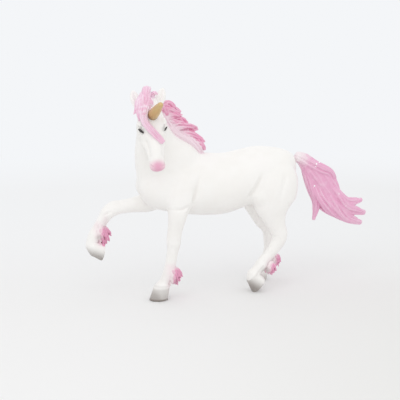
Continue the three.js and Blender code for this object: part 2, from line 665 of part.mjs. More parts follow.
const legs = Object.values(plans).map(({ stations, place, tuft, lift }) =>
  join([solid(skin(stations)), hoof(place), feather(tuft, lift)]),
);

const pieces = {};
const aboveGround = beyond(V(0, 0, 0), V(0, 0, 1));
let body = join([trunk(), head(), neck(), ear(-1), ear(1), ...legs]);
for (const [name, { outer, inner, peg: pin, socket }] of Object.entries(seams)) {
  const within = (side) => (corners[name] ? corners[name].intersect(side) : side);
  pieces[name] = body.intersect(within(outer)).add(pin).intersect(aboveGround);
  body = body.subtract(within(inner)).subtract(socket);
}

// Pegs of the hair and the horn: where each stands, which way it points and its size.
const pegs = {
  tail: [V(...tailPoint(-0.03, 0.03)), V(-0.9, 0, -0.1).normalize(), 1],
  horn: [hornFoot, hornAxis.clone().negate(), 0.7],
  forelock: [V(...onHead(0, 0.03, 0.06)), V(0, -1, -0.35).normalize().transformDirection(headTurn), 0.7],
};
const pin = (name) => peg(...pegs[name]);
const hole = (name) => peg(...pegs[name], SEAM);

// The white body with the clearance added all over, which the hair is cut clear of.
const bodySkin = join([
  trunk(SEAM),
  neck(SEAM),
  skull(SEAM),
  ear(-1, SEAM),
  ear(1, SEAM),
  ...Object.values(plans).map(({ stations }) => solid(skin(stations, { grow: SEAM }))),
]);

pieces.torso = body.subtract(hole("tail"));
pieces.head_and_neck = pieces.head_and_neck
  .subtract(hole("horn"))
  .subtract(hole("forelock"))
  .subtract(maneRib(SEAM));
pieces.horn = horn().subtract(bodySkin).add(pin("horn"));
pieces.forelock = forelock(0).subtract(bodySkin).subtract(horn(SEAM)).add(pin("forelock"));
pieces.mane = mane().subtract(bodySkin).subtract(forelock(SEAM)).add(maneRib(0));
pieces.tail = tail().subtract(bodySkin).add(pin("tail"));

// The origin lies under the middle of the finished figure, on the ground.
const COLOURS = { mane: PINK, forelock: PINK, tail: PINK, horn: GOLD };
const figure = new THREE.Group();
for (const [name, form] of Object.entries(pieces)) {
  const { vertProperties, triVerts } = form.getMesh();
  const geometry = new THREE.BufferGeometry();
  geometry.setAttribute("position", new THREE.BufferAttribute(vertProperties, 3));
  geometry.setIndex(new THREE.BufferAttribute(triVerts, 1));
  geometry.computeVertexNormals();
  const color = COLOURS[name] ?? WHITE;
  const metal = name === "horn";
  const material = new THREE.MeshStandardMaterial({
    color,
    roughness: metal ? 0.38 : 0.42,
    metalness: metal ? 0.6 : 0,
  });
  const mesh = new THREE.Mesh(geometry, material);
  mesh.name = name;
  figure.add(mesh);
}
const box = new THREE.Box3().setFromObject(figure);
const middle = box.getCenter(V(0, 0, 0));
figure.position.set(-middle.x, -middle.y, -box.min.z);

export default figure;
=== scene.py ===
import math
import random

import bmesh
import bpy
import numpy as np
from mathutils import Matrix, Vector
from mathutils.kdtree import KDTree


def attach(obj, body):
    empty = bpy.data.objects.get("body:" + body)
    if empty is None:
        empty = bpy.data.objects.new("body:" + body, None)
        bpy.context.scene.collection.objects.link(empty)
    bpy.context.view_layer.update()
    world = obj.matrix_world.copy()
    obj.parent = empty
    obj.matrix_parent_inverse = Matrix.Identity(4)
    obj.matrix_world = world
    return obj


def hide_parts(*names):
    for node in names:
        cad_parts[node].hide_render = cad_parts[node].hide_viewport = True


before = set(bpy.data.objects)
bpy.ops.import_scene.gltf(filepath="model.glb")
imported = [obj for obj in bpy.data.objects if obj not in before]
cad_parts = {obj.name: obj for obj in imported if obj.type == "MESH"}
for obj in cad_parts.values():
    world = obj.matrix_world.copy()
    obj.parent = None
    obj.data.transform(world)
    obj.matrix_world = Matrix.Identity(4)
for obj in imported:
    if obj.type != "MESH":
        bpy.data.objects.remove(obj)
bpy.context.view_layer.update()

# Camera, floor and light
# The figurine stands on a plain pale table in a bright white tent, seen a little from above and
# ahead of its left side. Sizes are in millimetres on the sculptor's bench, whose zero is under the
# elbow, and `to_row` carries them to the part's own frame in metres.

bench_zero = Vector((-26.9175, 9.09, 0.0))
to_row = Matrix.Scale(0.001, 4) @ Matrix.Translation(bench_zero)


def put_out(name, data):
    """Puts a new object in the scene."""
    item = bpy.data.objects.new(name, data)
    bpy.context.scene.collection.objects.link(item)
    return item


def cast(clay, name):
    """Makes an object of a shape that was built up as a bmesh."""
    mesh = bpy.data.meshes.new(name)
    clay.to_mesh(mesh)
    clay.free()
    return put_out(name, mesh)


aim = Vector((8.0, 0.0, 47.4))
azimuth, elevation, distance = math.radians(-22), math.radians(11), 500.0
backwards = Vector((
    math.sin(azimuth) * math.cos(elevation),
    -math.cos(azimuth) * math.cos(elevation),
    math.sin(elevation),
))
camera_data = bpy.data.cameras.new("camera")
camera_data.sensor_width, camera_data.lens = 36.0, 90.0
camera_data.clip_start, camera_data.clip_end = 0.01, 20.0
camera = put_out("camera", camera_data)
camera.location = to_row @ (aim + backwards * distance)
camera.rotation_euler = (-backwards).to_track_quat("-Z", "Y").to_euler()
bpy.context.scene.camera = camera
bpy.context.scene.view_settings.view_transform = "Standard"


class Value:
    """A number that varies over a surface, as the output of a shader node."""

    def __init__(self, tree, socket):
        self.tree, self.socket = tree, socket

    def maths(self, operation, first, second):
        node = self.tree.nodes.new("ShaderNodeMath")
        node.operation = operation
        for place, term in zip(node.inputs, (first, second)):
            if isinstance(term, Value):
                self.tree.links.new(term.socket, place)
            else:
                place.default_value = term
        return Value(self.tree, node.outputs[0])

    def __add__(self, other):
        return self.maths("ADD", self, other)

    def __sub__(self, other):
        return self.maths("SUBTRACT", self, other)

    def __rsub__(self, other):
        return self.maths("SUBTRACT", other, self)

    def __mul__(self, other):
        return self.maths("MULTIPLY", self, other)

    __radd__ = __add__
    __rmul__ = __mul__

    def at_least(self, other):
        return self.maths("MAXIMUM", self, other)

    def under(self, other):
        return self.maths("LESS_THAN", self, other)

    def beside(self, name):
        """Another output of the same node."""
        return Value(self.tree, self.socket.node.outputs[name])


class Paint:
    """A finish: a shader tree that starts with one Principled shader."""

    def __init__(self, name, **sockets):
        self.material = bpy.data.materials.new(name)
        self.material.use_nodes = True
        self.start(self.material.node_tree, "Material")
        self.shader = self.node("BsdfPrincipled", sockets=sockets)
        self.show(self.shader)

    def start(self, tree, kind):
        tree.nodes.clear()
        self.tree, self.output = tree, tree.nodes.new(f"ShaderNodeOutput{kind}")

    def show(self, shader):
        self.tree.links.new(shader.socket, self.output.inputs["Surface"])

    def node(self, kind, settings=None, sockets=None, output=0):
        node = self.tree.nodes.new(f"ShaderNode{kind}")
        for name, setting in (settings or {}).items():
            setattr(node, name, setting)
        self.feed(node, sockets or {})
        return Value(self.tree, node.outputs[output])

    def feed(self, node, sockets):
        """Fills the sockets of a node with values, numbers and colours."""
        for name, value in sockets.items():
            if isinstance(value, Value):
                self.tree.links.new(value.socket, node.inputs[name])
            else:
                node.inputs[name].default_value = (*value, 1) if isinstance(value, tuple) else value

    def finish(self, **sockets):
        self.feed(self.shader.socket.node, {k.replace("_", " "): v for k, v in sockets.items()})

    def mix(self, share, first, second):
        return self.node("Mix", {"data_type": "RGBA"}, {0: share, 6: first, 7: second}, 2)

    def ramp(self, value, low, high, start=0.0, end=1.0):
        sockets = {"Value": value, "From Min": low, "From Max": high, "To Min": start, "To Max": end}
        return self.node("MapRange", {"interpolation_type": "SMOOTHSTEP"}, sockets)

    def place(self):
        """Object coordinates, which are the part's own, in metres."""
        return self.node("TexCoord", output=3)

    def bump(self, height, distance_mm):
        return self.node("Bump", sockets={"Height": height, "Distance": distance_mm / 1000, "Strength": 1.0})

    def noise(self, size_mm, detail=2.0):
        sockets = {"Vector": self.place(), "Scale": 1000.0 / size_mm, "Detail": detail}
        return self.node("TexNoise", sockets=sockets)

    def attribute(self, name):
        return self.node("Attribute", {"attribute_name": name}, output=2)


class Tent(Paint):
    """The white tent all round, as the world's own shader tree."""

    def __init__(self, world):
        world.use_nodes = True
        self.start(world.node_tree, "World")


backdrop, tent_light = (0.905, 0.92, 0.94), 0.87
world = bpy.data.worlds.new("tent")
bpy.context.scene.world = world
tent = Tent(world)
ray = tent.node("LightPath")
seen = ray.at_least(ray.beside("Is Glossy Ray")).at_least(ray.beside("Is Transmission Ray"))
glow = tent.node("Background", sockets={"Color": (1.0, 1.0, 1.0), "Strength": tent_light})
view = tent.node("Background", sockets={"Color": backdrop, "Strength": 1.0})
tent.show(tent.node("MixShader", sockets={0: seen, 1: glow, 2: view}))

lamp_size = 0.9
for name, spot, power in (
    ("key_light", (-275, -450, 550), 1.1),
    ("fill_light", (420, -380, 260), 0.27),
    ("back_light", (120, 520, 480), 0.3),
):
    lamp_data = bpy.data.lights.new(name, "AREA")
    lamp_data.shape, lamp_data.size, lamp_data.energy = "DISK", lamp_size, power
    lamp = put_out(name, lamp_data)
    lamp.location = to_row @ Vector(spot)
    towards = to_row @ aim - lamp.location
    lamp.rotation_euler = towards.to_track_quat("-Z", "Y").to_euler()

table = bmesh.new()
table_radius = 1.6
bmesh.ops.create_circle(table, cap_ends=True, segments=64, radius=table_radius)
floor = cast(table, "table")
# painted shade greys the table to the near right, and the table fades into the tent at its far edge
tabletop = Paint("table", Roughness=0.9)
spot = tabletop.place()
radius = tabletop.node("VectorMath", {"operation": "LENGTH"}, {0: spot}, 1)
across = tabletop.node("SeparateXYZ", sockets={0: spot})
away = across.beside("Y")
behind = tabletop.ramp(0.37 * across + 0.93 * away, -0.05, 0.15, 0.0, 0.5)
fade = tabletop.ramp(radius, 0.14, 0.5).at_least(behind)
corner = tabletop.ramp(across - 0.8 * away, -0.06, 0.2)
# painted shade: darker grey towards the near right
shade = tabletop.mix(corner, (0.865, 0.865, 0.865), (0.79, 0.79, 0.775))
tabletop.finish(Base_Color=shade, Specular_IOR_Level=0.1)
paper = tabletop.node("Emission", sockets={"Color": backdrop, "Strength": 1.0})
camera_ray = tabletop.node("LightPath")
tabletop.show(tabletop.node("MixShader", sockets={0: fade * camera_ray, 1: tabletop.shader, 2: paper}))
floor.data.materials.append(tabletop.material)

# Body forms
# The white body is sculpted in one before it is parted at its seams: rounded forms for the
# barrel, neck, head and legs are run together like clay, and then tooled. Each form is a run of
# rings: centre, half width, half depth to the front and to the back.


def through(rows, steps):
    """A smooth run through rows of numbers, with `steps` parts between two rows."""
    rows = np.asarray(rows, float)
    rows = np.vstack([2 * rows[0] - rows[1], rows, 2 * rows[-1] - rows[-2]])
    gaps = np.sqrt(np.linalg.norm(np.diff(rows[:, :3], axis=0), axis=1)) + 1e-6
    out = []
    for i in range(1, len(rows) - 2):
        before, start, end, after = rows[i - 1 : i + 3]
        a, b, c = gaps[i - 1 : i + 2]
        leave = ((start - before) / a - (end - before) / (a + b) + (end - start) / b) * b
        arrive = ((end - start) / b - (after - start) / (b + c) + (after - end) / c) * b
        leave[3:], arrive[3:] = (end - before)[3:] / 2, (after - start)[3:] / 2
        for t in np.arange(steps + (i == len(rows) - 3)) / steps:
            h = (2 * t**3 - 3 * t**2 + 1, t**3 - 2 * t**2 + t, 3 * t**2 - 2 * t**3, t**3 - t**2)
            out.append(h[0] * start + h[1] * leave + h[2] * end + h[3] * arrive)
    return np.array(out)


def loft(clay, rows, side=(0, 1, 0), axis=None, steps=4, sides=24, domes=(1, 1), place=None):
    """Extrudes a circle from ring to ring of a run, and closes its ends with domes."""
    width = 9 if len(rows[0]) > 6 else 6
    run = through([list(row[:width]) for row in rows], steps)
    lines = np.gradient(run[:, :3], axis=0)
    rings = []
    for row, line in zip(run, lines):
        along = Vector(axis or line).normalized()
        across = Vector(row[6:9] if width == 9 else side)
        across = (across - across.project(along)).normalized()
        rings.append([Vector(row[:3]), across, along.cross(across), Vector(row[3:6]), along])
    for end, last in ((0, rings[0]), (1, rings[-1])):
        # a dome is as tall as its share of the end ring's half size
        centre, across, deep, half, along = last
        reach = (1 if end else -1) * domes[end] * min(half[0], half[1])
        caps = []
        for angle in (22, 45, 68, 84):
            lean = math.radians(angle)
            caps.append([centre + along * reach * math.sin(lean), across, deep, half * math.cos(lean), along])
        if domes[end]:
            rings = rings + caps if end else caps[::-1] + rings
    lump = bmesh.new()
    ring = bmesh.ops.create_circle(lump, segments=sides, radius=1.0)["verts"]
    lump.faces.new(ring[::-1])
    for number, (centre, across, deep, half, _) in enumerate(rings):
        if number:
            edges = list({e for v in ring for e in v.link_edges if e.other_vert(v) in ring})
            grown = bmesh.ops.extrude_edge_only(lump, edges=edges)["geom"]
            fresh = {v for v in grown if isinstance(v, bmesh.types.BMVert)}
            ring = [next(e.other_vert(v) for e in v.link_edges if e.other_vert(v) in fresh) for v in ring]
        for i, vert in enumerate(ring):
            angle = 2 * math.pi * i / sides
            depth = math.sin(angle) * (half[2] if math.sin(angle) > 0 else half[1])
            vert.co = centre + across * half[0] * math.cos(angle) + deep * depth
            if place:
                vert.co = place @ vert.co
    lump.faces.new(ring)
    add_to(clay, lump)
    return run


def add_to(clay, lump):
    mesh = bpy.data.meshes.new("lump")
    lump.to_mesh(mesh)
    lump.free()
    clay.from_mesh(mesh)
    bpy.data.meshes.remove(mesh)


def egg(clay, centre, half, turn=Matrix(), place=None):
    """A rounded lump of clay with three half sizes."""
    shape = Matrix.Translation(centre) @ turn @ Matrix.Diagonal((*half, 1))
    if place:
        shape = place @ shape
    lump = bmesh.new()
    bmesh.ops.create_uvsphere(lump, u_segments=24, v_segments=14, radius=1.0, matrix=shape)
    add_to(clay, lump)


body = bmesh.new()

# Barrel, breast and rump: underside first, then the top line.
loft(body, [
    (-23.4, 0, 56.4, 4.6, 3.6, 4.0),
    (-21.2, 0, 55.8, 8.6, 7.6, 9.6),
    (-16.5, 0, 54.9, 11.0, 9.9, 14.4),
    (-8.5, 0, 54.0, 12.3, 11.2, 17.0),
    (0.1, 0, 53.1, 12.9, 12.0, 18.3),
    (10.2, 0, 53.7, 13.6, 13.9, 17.6),
    (20.4, 0, 54.3, 14.0, 14.5, 16.2),
    (30.1, 0, 55.6, 13.7, 13.4, 16.3),
    (38.5, 0, 57.2, 13.0, 11.9, 16.0),
    (47.0, 0, 58.2, 12.0, 10.4, 14.2),
    (53.5, 0, 59.4, 9.8, 8.2, 11.7),
    (57.8, 0, 60.9, 6.4, 5.4, 8.3),
], axis=(1, 0, 0), sides=40, domes=(0.35, 0.45))

# Neck: crest side first, then the throat, and the twist to the left.
neck_rows = [
    (-3.0, 0, 58.5, 9.4, 16.2, 17.6, 0, 1, 0),
    (-9.6, -0.2, 68.1, 9.4, 15.3, 18.0, -0.03, 1, 0),
    (-14.8, -1.6, 76.5, 7.4, 10.5, 13.9, -0.19, 0.98, 0),
    (-18.0, -3.8, 84.3, 6.2, 8.4, 10.1, -0.46, 0.89, 0),
    (-19.5, -6.2, 90.9, 5.4, 6.6, 7.2, -0.7, 0.71, 0),
    (-20.2, -7.7, 95.1, 4.6, 5.1, 5.2, -0.87, 0.5, 0),
]
loft(body, neck_rows, steps=5, sides=36)

# Head: nose down in its own frame, its left at +X and its face at +Z, with the poll at zero.
head_place = Matrix((
    (0.9869, -0.0038, -0.161, -21.6),
    (-0.1475, 0.3801, -0.9131, -8.0),
    (0.0647, 0.9249, 0.3746, 97.5),
    (0, 0, 0, 1),
))
loft(body, [
    # jaw side first, then the face
    (0, 0.2, 0, 4.3, 3.4, 3.0),
    (0, -4.4, 0, 5.5, 6.3, 4.7),
    (0, -8.6, 0, 6.5, 8.4, 5.3),
    (0, -12.6, 0, 6.9, 9.0, 5.2),
    (0, -16.4, 0, 6.0, 7.9, 4.7),
    (0, -20.6, 0, 4.7, 5.7, 4.3),
    (0, -24.8, 0, 4.1, 4.4, 3.9),
    (0, -28.4, 0, 3.7, 3.7, 3.3),
    (0, -31.0, 0, 3.4, 3.3, 2.7),
], side=(1, 0, 0), sides=36, domes=(0.9, 0.5), place=head_place)
for x, y, z, *half in (
    # cheek, brow, cheekbone and wing of the nostril, on each side
    *((way * x, *rest) for way in (-1, 1) for x, *rest in (
        (3.6, -11.4, -3.4, 3.1, 6.0, 5.2),
        (5.2, -10.2, 2.0, 1.8, 2.5, 2.3),
        (4.7, -16.6, -0.3, 1.3, 5.4, 1.3),
        (2.65, -30.7, 1.3, 1.5, 2.2, 1.7),
    )),
    # bone of the nose, forehead, upper lip and lower lip
    (0, -21.5, 1.9, 2.6, 10.0, 2.75),
    (0, -7.4, 2.2, 4.2, 6.0, 3.5),
    (0, -31.7, 0.2, 4.1, 1.8, 2.5),
    (0, -30.6, -2.5, 2.4, 2.3, 1.6),
):
    egg(body, (x, y, z), half, place=head_place)

# Ears: leaves that stand on the poll, leaning out, and are hollowed to the front.
ear_height, ear_apart, ear_foot = 8.8, 4.8, 0.16
ears = ((-1, 0.2), (1, 0.42))
ear_leaf = (
    # share of the height, and how wide the leaf is there
    (-0.16, 0.34), (0.05, 0.46), (0.25, 0.53), (0.46, 0.5), (0.64, 0.38), (0.78, 0.2), (0.84, 0.06),
)


def ear_across(way, lean, up):
    """How far the middle of an ear is from the middle of the head, part of the way up."""
    return way * (ear_apart + lean * ear_height * (up + ear_foot))


for way, lean in ears:
    rows = []
    for up, share in ear_leaf:
        back = -1.0 - 0.44 * math.sin(3.1 * (up + ear_foot))
        leaf = (4.6 * share, 2.6 * share, 2.2 * share)
        rows.append((ear_across(way, lean, up), ear_height * up, back, *leaf))
    loft(body, rows, side=(1, 0, 0), domes=(0.5, 1), place=head_place)

# Legs, from the shoulder or haunch down to the coronet: front of the leg first, then its back.
left_fore = [
    (-1.2, -5.4, 62.8, 3.0, 5.4, 4.6),
    (-4.1, -8.6, 57.2, 4.6, 8.4, 6.6),
    (-6.2, -10.1, 50.2, 4.9, 7.4, 6.2),
    (-7.5, -10.4, 42.9, 4.6, 5.4, 4.4),
    (-8.7, -9.5, 36.2, 3.5, 3.9, 3.7),
    (-9.0, -8.7, 31.6, 3.6, 3.8, 3.3),
    (-9.2, -8.4, 28.6, 3.5, 3.7, 3.4),
    (-9.7, -8.1, 25.4, 2.7, 2.8, 3.1),
    (-10.3, -7.4, 20.4, 2.4, 2.6, 2.9),
    (-10.8, -7.0, 16.6, 2.5, 2.7, 2.9),
    (-11.3, -6.6, 13.0, 3.1, 3.0, 3.2),
    (-13.0, -6.0, 9.5, 2.7, 2.6, 2.8),
    (-14.4, -5.9, 6.1, 3.1, 3.6, 3.4),
]
right_fore = [
    (-0.3, 5.6, 62.0, 3.0, 5.0, 6.0),
    (-7.9, 8.4, 54.0, 4.7, 8.0, 8.4),
    (-15.3, 9.6, 47.2, 4.8, 5.4, 5.9),
    (-23.0, 10.0, 45.8, 4.1, 3.8, 4.2),
    (-30.0, 10.5, 44.6, 3.5, 3.6, 3.2),
    (-33.6, 10.7, 44.0, 3.6, 4.1, 3.4),
    (-37.0, 10.8, 41.9, 3.3, 3.7, 3.2),
    (-38.9, 10.8, 39.6, 2.7, 3.0, 3.0),
    (-41.0, 10.8, 36.5, 2.4, 2.7, 2.8),
    (-42.5, 10.8, 34.0, 2.6, 2.9, 3.0),
    (-43.6, 10.8, 31.9, 3.1, 3.1, 3.5),
    (-45.1, 10.8, 28.4, 2.75, 2.9, 3.2),
    (-45.4, 10.8, 26.2, 3.1, 3.0, 3.4),
]
left_hind = [
    (48.7, -4.6, 65.8, 3.6, 6.6, 6.2),
    (47.4, -7.6, 58.8, 6.0, 11.6, 11.6),
    (44.5, -9.4, 49.2, 6.2, 13.4, 12.6),
    (43.9, -10.1, 43.5, 5.2, 10.4, 9.8),
    (44.6, -10.1, 37.9, 4.0, 6.8, 6.4),
    (46.1, -10.1, 32.6, 3.3, 4.5, 4.7),
    (47.6, -10.0, 28.6, 3.3, 3.9, 4.3),
    (46.9, -10.0, 25.2, 3.1, 3.5, 3.8),
    (44.6, -10.0, 21.9, 2.6, 3.0, 3.3),
    (41.6, -10.0, 18.5, 2.4, 2.7, 2.9),
    (38.9, -10.0, 15.8, 2.6, 2.8, 2.9),
    (37.2, -10.0, 13.5, 3.1, 2.9, 3.1),
    (34.8, -10.0, 10.9, 2.8, 2.6, 3.0),
    (33.1, -10.0, 8.9, 3.1, 3.3, 3.4),
]
right_hind = [
    # the thigh is the left one mirrored, and below it the leg stands further back
    *((x, -y, z, *half) for x, y, z, *half in left_hind[:3]),
    *((x + 1.1, -y, z, *half) for x, y, z, *half in left_hind[3:6]),
    (50.3, 9.9, 28.6, 3.3, 3.9, 4.3),
    (51.4, 9.8, 25.2, 3.1, 3.5, 3.8),
    (51.2, 9.5, 21.6, 2.6, 3.0, 3.3),
    (51.2, 9.4, 18.2, 2.4, 2.7, 2.9),
    (51.1, 9.3, 15.6, 2.6, 2.8, 2.9),
    (50.7, 9.2, 13.0, 3.1, 3.0, 3.1),
    (48.5, 9.2, 9.5, 2.7, 2.6, 2.8),
    (46.8, 9.2, 6.1, 3.1, 3.6, 3.4),
]
hooves = {
    # coronet, how far the toe points down, and height
    "left_foreleg": (Vector((-14.3, -5.88, 7.1)), 0, 1.075),
    "right_foreleg": (Vector((-45.2, 10.78, 25.7)), 80, 0.88),
    "left_hind_leg": (Vector((32.79, -10.01, 8.87)), 46, 1.0),
    "right_hind_leg": (Vector((46.81, 9.24, 6.6)), 0, 1.0),
}
for rows in (left_fore, right_fore, left_hind, right_hind):
    loft(body, rows, sides=28)
hoof_height = 6.6
hoof_places = {}
for name, (coronet, toe_down, tall) in hooves.items():
    place = Matrix.Translation(coronet) @ Matrix.Rotation(math.radians(-toe_down), 4, "Y")
    hoof_places[name] = place
    loft(body, [
        (0.15, 0, 1.1, 2.9, 3.2, 2.9),
        (0, 0, 0.1, 3.65, 4.2, 3.8),
        (-0.35, 0, -0.7, 3.75, 4.35, 3.95),
        (-0.45, 0, -1.1, 3.65, 4.25, 3.85),
        (-1.05 * tall, 0, -3.8 * tall, 3.95, 4.7, 4.15),
        (-1.72 * tall, 0, -hoof_height * tall, 4.1, 5.08, 4.32),
    ], axis=(0, 0, -1), steps=3, sides=32, domes=(0.4, 0), place=place)

# Fetlock feathers: a mass of short pointed strands that fans out behind each fetlock.
feather_dice = random.Random(3)
feather_roots = {
    # top, lean in degrees, size across and down, and how low the side strands hang
    "left_foreleg": (Vector((-9.4, -6.7, 16.6)), 0, 1.0, 1.0, 0.92),
    "right_foreleg": (Vector((-40.9, 10.8, 36.5)), -2, 1.04, 1.04, 0.8),
    "left_hind_leg": (Vector((42.7, -10.0, 15.0)), 14, 0.86, 0.7, 0.95),
    "right_hind_leg": (Vector((54.5, 9.2, 13.6)), 0, 0.76, 0.76, 0.8),
}
feather_points = []
for root, lean, size, length, low in feather_roots.values():
    fall = Matrix.Translation(root) @ Matrix.Rotation(math.radians(lean), 4, "Y")
    fall = fall @ Matrix.Diagonal((size, size, length, 1))
    egg(body, (0.8, 0, -3.6), (2.4, 2.7, 3.8), place=fall)
    egg(body, (-1.4, 0, -2.8), (2.6, 2.8, 3.2), place=fall)
    for row, (out, down, thick) in enumerate((
        # how far back and down the tips of a row reach, and half the thickness of its strands
        (5.5, 3.0, 0.78), (6.1, 4.7, 0.8), (6.1, 6.4, 0.8), (5.4, 8.1, 0.76), (3.9, 9.8, 0.76),
    )):
        for k in range(9):
            turn = math.radians(-100 + 25 * k + (row % 2) * 12 - 6 + feather_dice.uniform(-4, 4))
            behind = math.cos(turn)
            reach = out * (1 + feather_dice.uniform(-0.09, 0.07)) * (0.62 + 0.38 * behind)
            drop = (down + feather_dice.uniform(-0.5, 0.5)) * (low + (1 - low) * max(0, behind))
            wise = Vector((behind, 0.9 * math.sin(turn), 0))
            start = Vector((-1.1, 0, 1.3 - 0.42 * drop)) + wise * 2.0
            middle = Vector((-1.1, 0, -0.62 * drop)) + wise * (0.66 * reach + 0.5)
            tip = Vector((-1.1, 0, -drop)) + wise * reach
            rows = [
                (*start, *[0.7 * thick] * 3),
                (*middle, *[thick] * 3),
                (*middle.lerp(tip, 0.55), *[0.78 * thick] * 3),
                (*tip, *[0.22] * 3),
            ]
            run = loft(body, rows, steps=3, sides=9, domes=(0.4, 0.5), place=fall)
            for i, spot in enumerate(run):
                feather_points.append((fall @ Vector(spot[:3]), i / (len(run) - 1), behind))

# Tooling the body
# The forms are run together, and then tooled as a sculptor would: muscles raised, furrows drawn,
# the eyes, nostrils and mouth opened, and the joins softened.


def run_together(clay, name, grain):
    """Fuses the lumps of clay into one skin with an even grain, in millimetres."""
    lump = cast(clay, name)
    remesh = lump.modifiers.new("grain", "REMESH")
    remesh.mode, remesh.voxel_size = "VOXEL", grain
    settle(lump)
    return lump


def settle(lump):
    """Applies the modifiers of a piece to its mesh."""
    graph = bpy.context.evaluated_depsgraph_get()
    mesh = bpy.data.meshes.new_from_object(lump.evaluated_get(graph))
    lump.modifiers.clear()
    lump.data = mesh


def soften(lump, rounds, weights=None):
    """Rubs a surface smooth, more where the weights are high."""
    smooth = lump.modifiers.new("soften", "SMOOTH")
    smooth.factor, smooth.iterations = 0.5, rounds
    if weights is not None:
        group = lump.vertex_groups.new(name="soft")
        # in tenths, because a group takes one weight for many points at a time
        for level in range(1, 11):
            picked = np.nonzero(np.round(weights * 10) == level)[0]
            if len(picked):
                group.add([int(i) for i in picked], level / 10, "REPLACE")
        smooth.vertex_group = "soft"
    settle(lump)
    lump.vertex_groups.clear()


def spots(lump):
    """The points of a mesh and the directions that its surface faces there."""
    mesh = lump.data
    points = np.empty(len(mesh.vertices) * 3)
    mesh.vertices.foreach_get("co", points)
    normals = np.empty(len(mesh.vertices) * 3)
    mesh.vertex_normals.foreach_get("vector", normals)
    return points.reshape(-1, 3), normals.reshape(-1, 3)


def fall_off(distance, width):
    """From 1 at no distance to 0 at the width, rounded at both ends."""
    t = np.clip(1 - distance / width, 0, 1)
    return t * t * (3 - 2 * t)


def patch(points, centre, half):
    """From 1 at the middle of a rounded patch to 0 at its edge."""
    return fall_off(np.linalg.norm((points - np.array(centre)) / np.array(half), axis=1), 1.0)


def near(points, samples):
    """For each point, how far it is from the nearest of some samples, and which that is."""
    tree = KDTree(len(samples))
    for i, sample in enumerate(samples):
        tree.insert(sample, i)
    tree.balance()
    found = [tree.find(p) for p in points]
    return np.array([f[2] for f in found]), np.array([f[1] for f in found])


class Tool:
    """Presses on a surface or raises it, along the surface's own direction."""

    def __init__(self, lump):
        self.lump = lump
        self.points, self.normals = spots(lump)

    def shift(self, amount):
        self.points = self.points + self.normals * amount[:, None]

    def done(self):
        self.lump.data.vertices.foreach_set("co", self.points.ravel())
        self.lump.data.update()

    def swell(self, centre, half, height):
        """Raises a rounded patch, or presses it in where the height is negative."""
        self.shift(height * patch(self.points, centre, half))

    def draw(self, path, width, depth):
        """A furrow, or a ridge where the depth is negative, along a path."""
        line = through(path, 8)[:, :3]
        low, high = line.min(0) - width, line.max(0) + width
        touched = np.nonzero(((self.points > low) & (self.points < high)).all(1))[0]
        spots_there = self.points[touched]
        away, share = np.full(len(touched), np.inf), np.zeros(len(touched))
        for i, (a, b) in enumerate(zip(line[:-1], line[1:])):
            along = np.clip(((spots_there - a) @ (b - a)) / ((b - a) @ (b - a)), 0, 1)
            gap = np.linalg.norm(spots_there - (a + along[:, None] * (b - a)), axis=1)
            share = np.where(gap < away, (i + along) / (len(line) - 1), share)
            away = np.minimum(away, gap)
        # it runs out over the first and the last fifth
        ends = np.minimum(1, np.minimum(share, 1 - share) * 5)
        amount = np.zeros(len(self.points))
        amount[touched] = -depth * fall_off(away, width) * ends
        self.shift(amount)


body_skin = run_together(body, "body", 0.3)
skin_spots = spots(body_skin)[0]
trunk_middle, trunk_half, trunk_fade = 62, 14, 12.0
on_trunk = fall_off(np.abs(skin_spots[:, 2] - trunk_middle) - trunk_half, trunk_fade)
on_trunk *= (skin_spots[:, 0] > -27) & (skin_spots[:, 2] < 84)
soften(body_skin, 180, on_trunk)
off_feathers = np.clip(near(spots(body_skin)[0], [f[0] for f in feather_points])[0] - 1.0, 0.2, 1)
soften(body_skin, 4, off_feathers)


def draw_on(way, path, width, depth):
    """A furrow on one side of the body."""
    tool.draw([(x, way * y, z) for x, y, z in path], width, depth)


tool = Tool(body_skin)
for way in (-1, 1):
    # shoulder blade, triceps and the furrow behind them
    tool.swell((-4.5, way * 12.0, 55.0), (7, 6, 9), 0.8)
    tool.swell((-2.5, way * 13.0, 50.5), (5.0, 5, 6), 0.6)
    draw_on(way, ((3.6, 12.0, 68.0), (2.2, 13.5, 60), (0.6, 13.8, 53), (-1.6, 13, 46)), 2.4, 1.1)
    # loin, haunch, the fold of the flank, and the two muscles of the thigh
    tool.swell((41, way * 10.0, 66.0), (12, 7, 9), 0.5)
    tool.swell((43, way * 14.0, 54.0), (10, 6, 13), 0.6)
    tool.swell((34.6, way * 12.6, 48.4), (4.5, 5, 5.0), 1.0)
    draw_on(way, ((37.0, 13.0, 62.0), (34.0, 13.6, 56), (31.0, 13.2, 51.5), (28.4, 11.6, 48)), 2.2, 0.75)
    draw_on(way, ((49.6, 13.4, 62.0), (47.2, 14.6, 55), (44.8, 14.4, 48.8), (44.4, 13.4, 42)), 2.6, 0.5)
    # breast
    tool.swell((-23.0, way * 4.6, 56.0), (6, 4.6, 8), 0.8)
tool.draw([(-24.5, 0, 66), (-26.0, 0, 58), (-24.5, 0, 50), (-20.0, 0, 44)], 2.2, 1.0)
# the edge of the breast over the standing foreleg, and the pit behind its elbow
tool.draw([(-13.5, -8.5, 46.6), (-11.0, -13.0, 46.4), (-6.4, -15.0, 46.6), (-2.6, -13.6, 48.2)], 1.5, 0.7)
tool.draw([(-3.2, -12.8, 47.6), (-4.4, -13.4, 44.0), (-5.4, -13.0, 40.0)], 1.5, 0.7)
tool.done()
soften(body_skin, 3, off_feathers)


def draw_on_head(way, path, width, depth):
    """A furrow or ridge on one side of the head, in the head's own frame."""
    tool.draw([head_place @ Vector((way * x, y, z)) for x, y, z in path], width, depth)


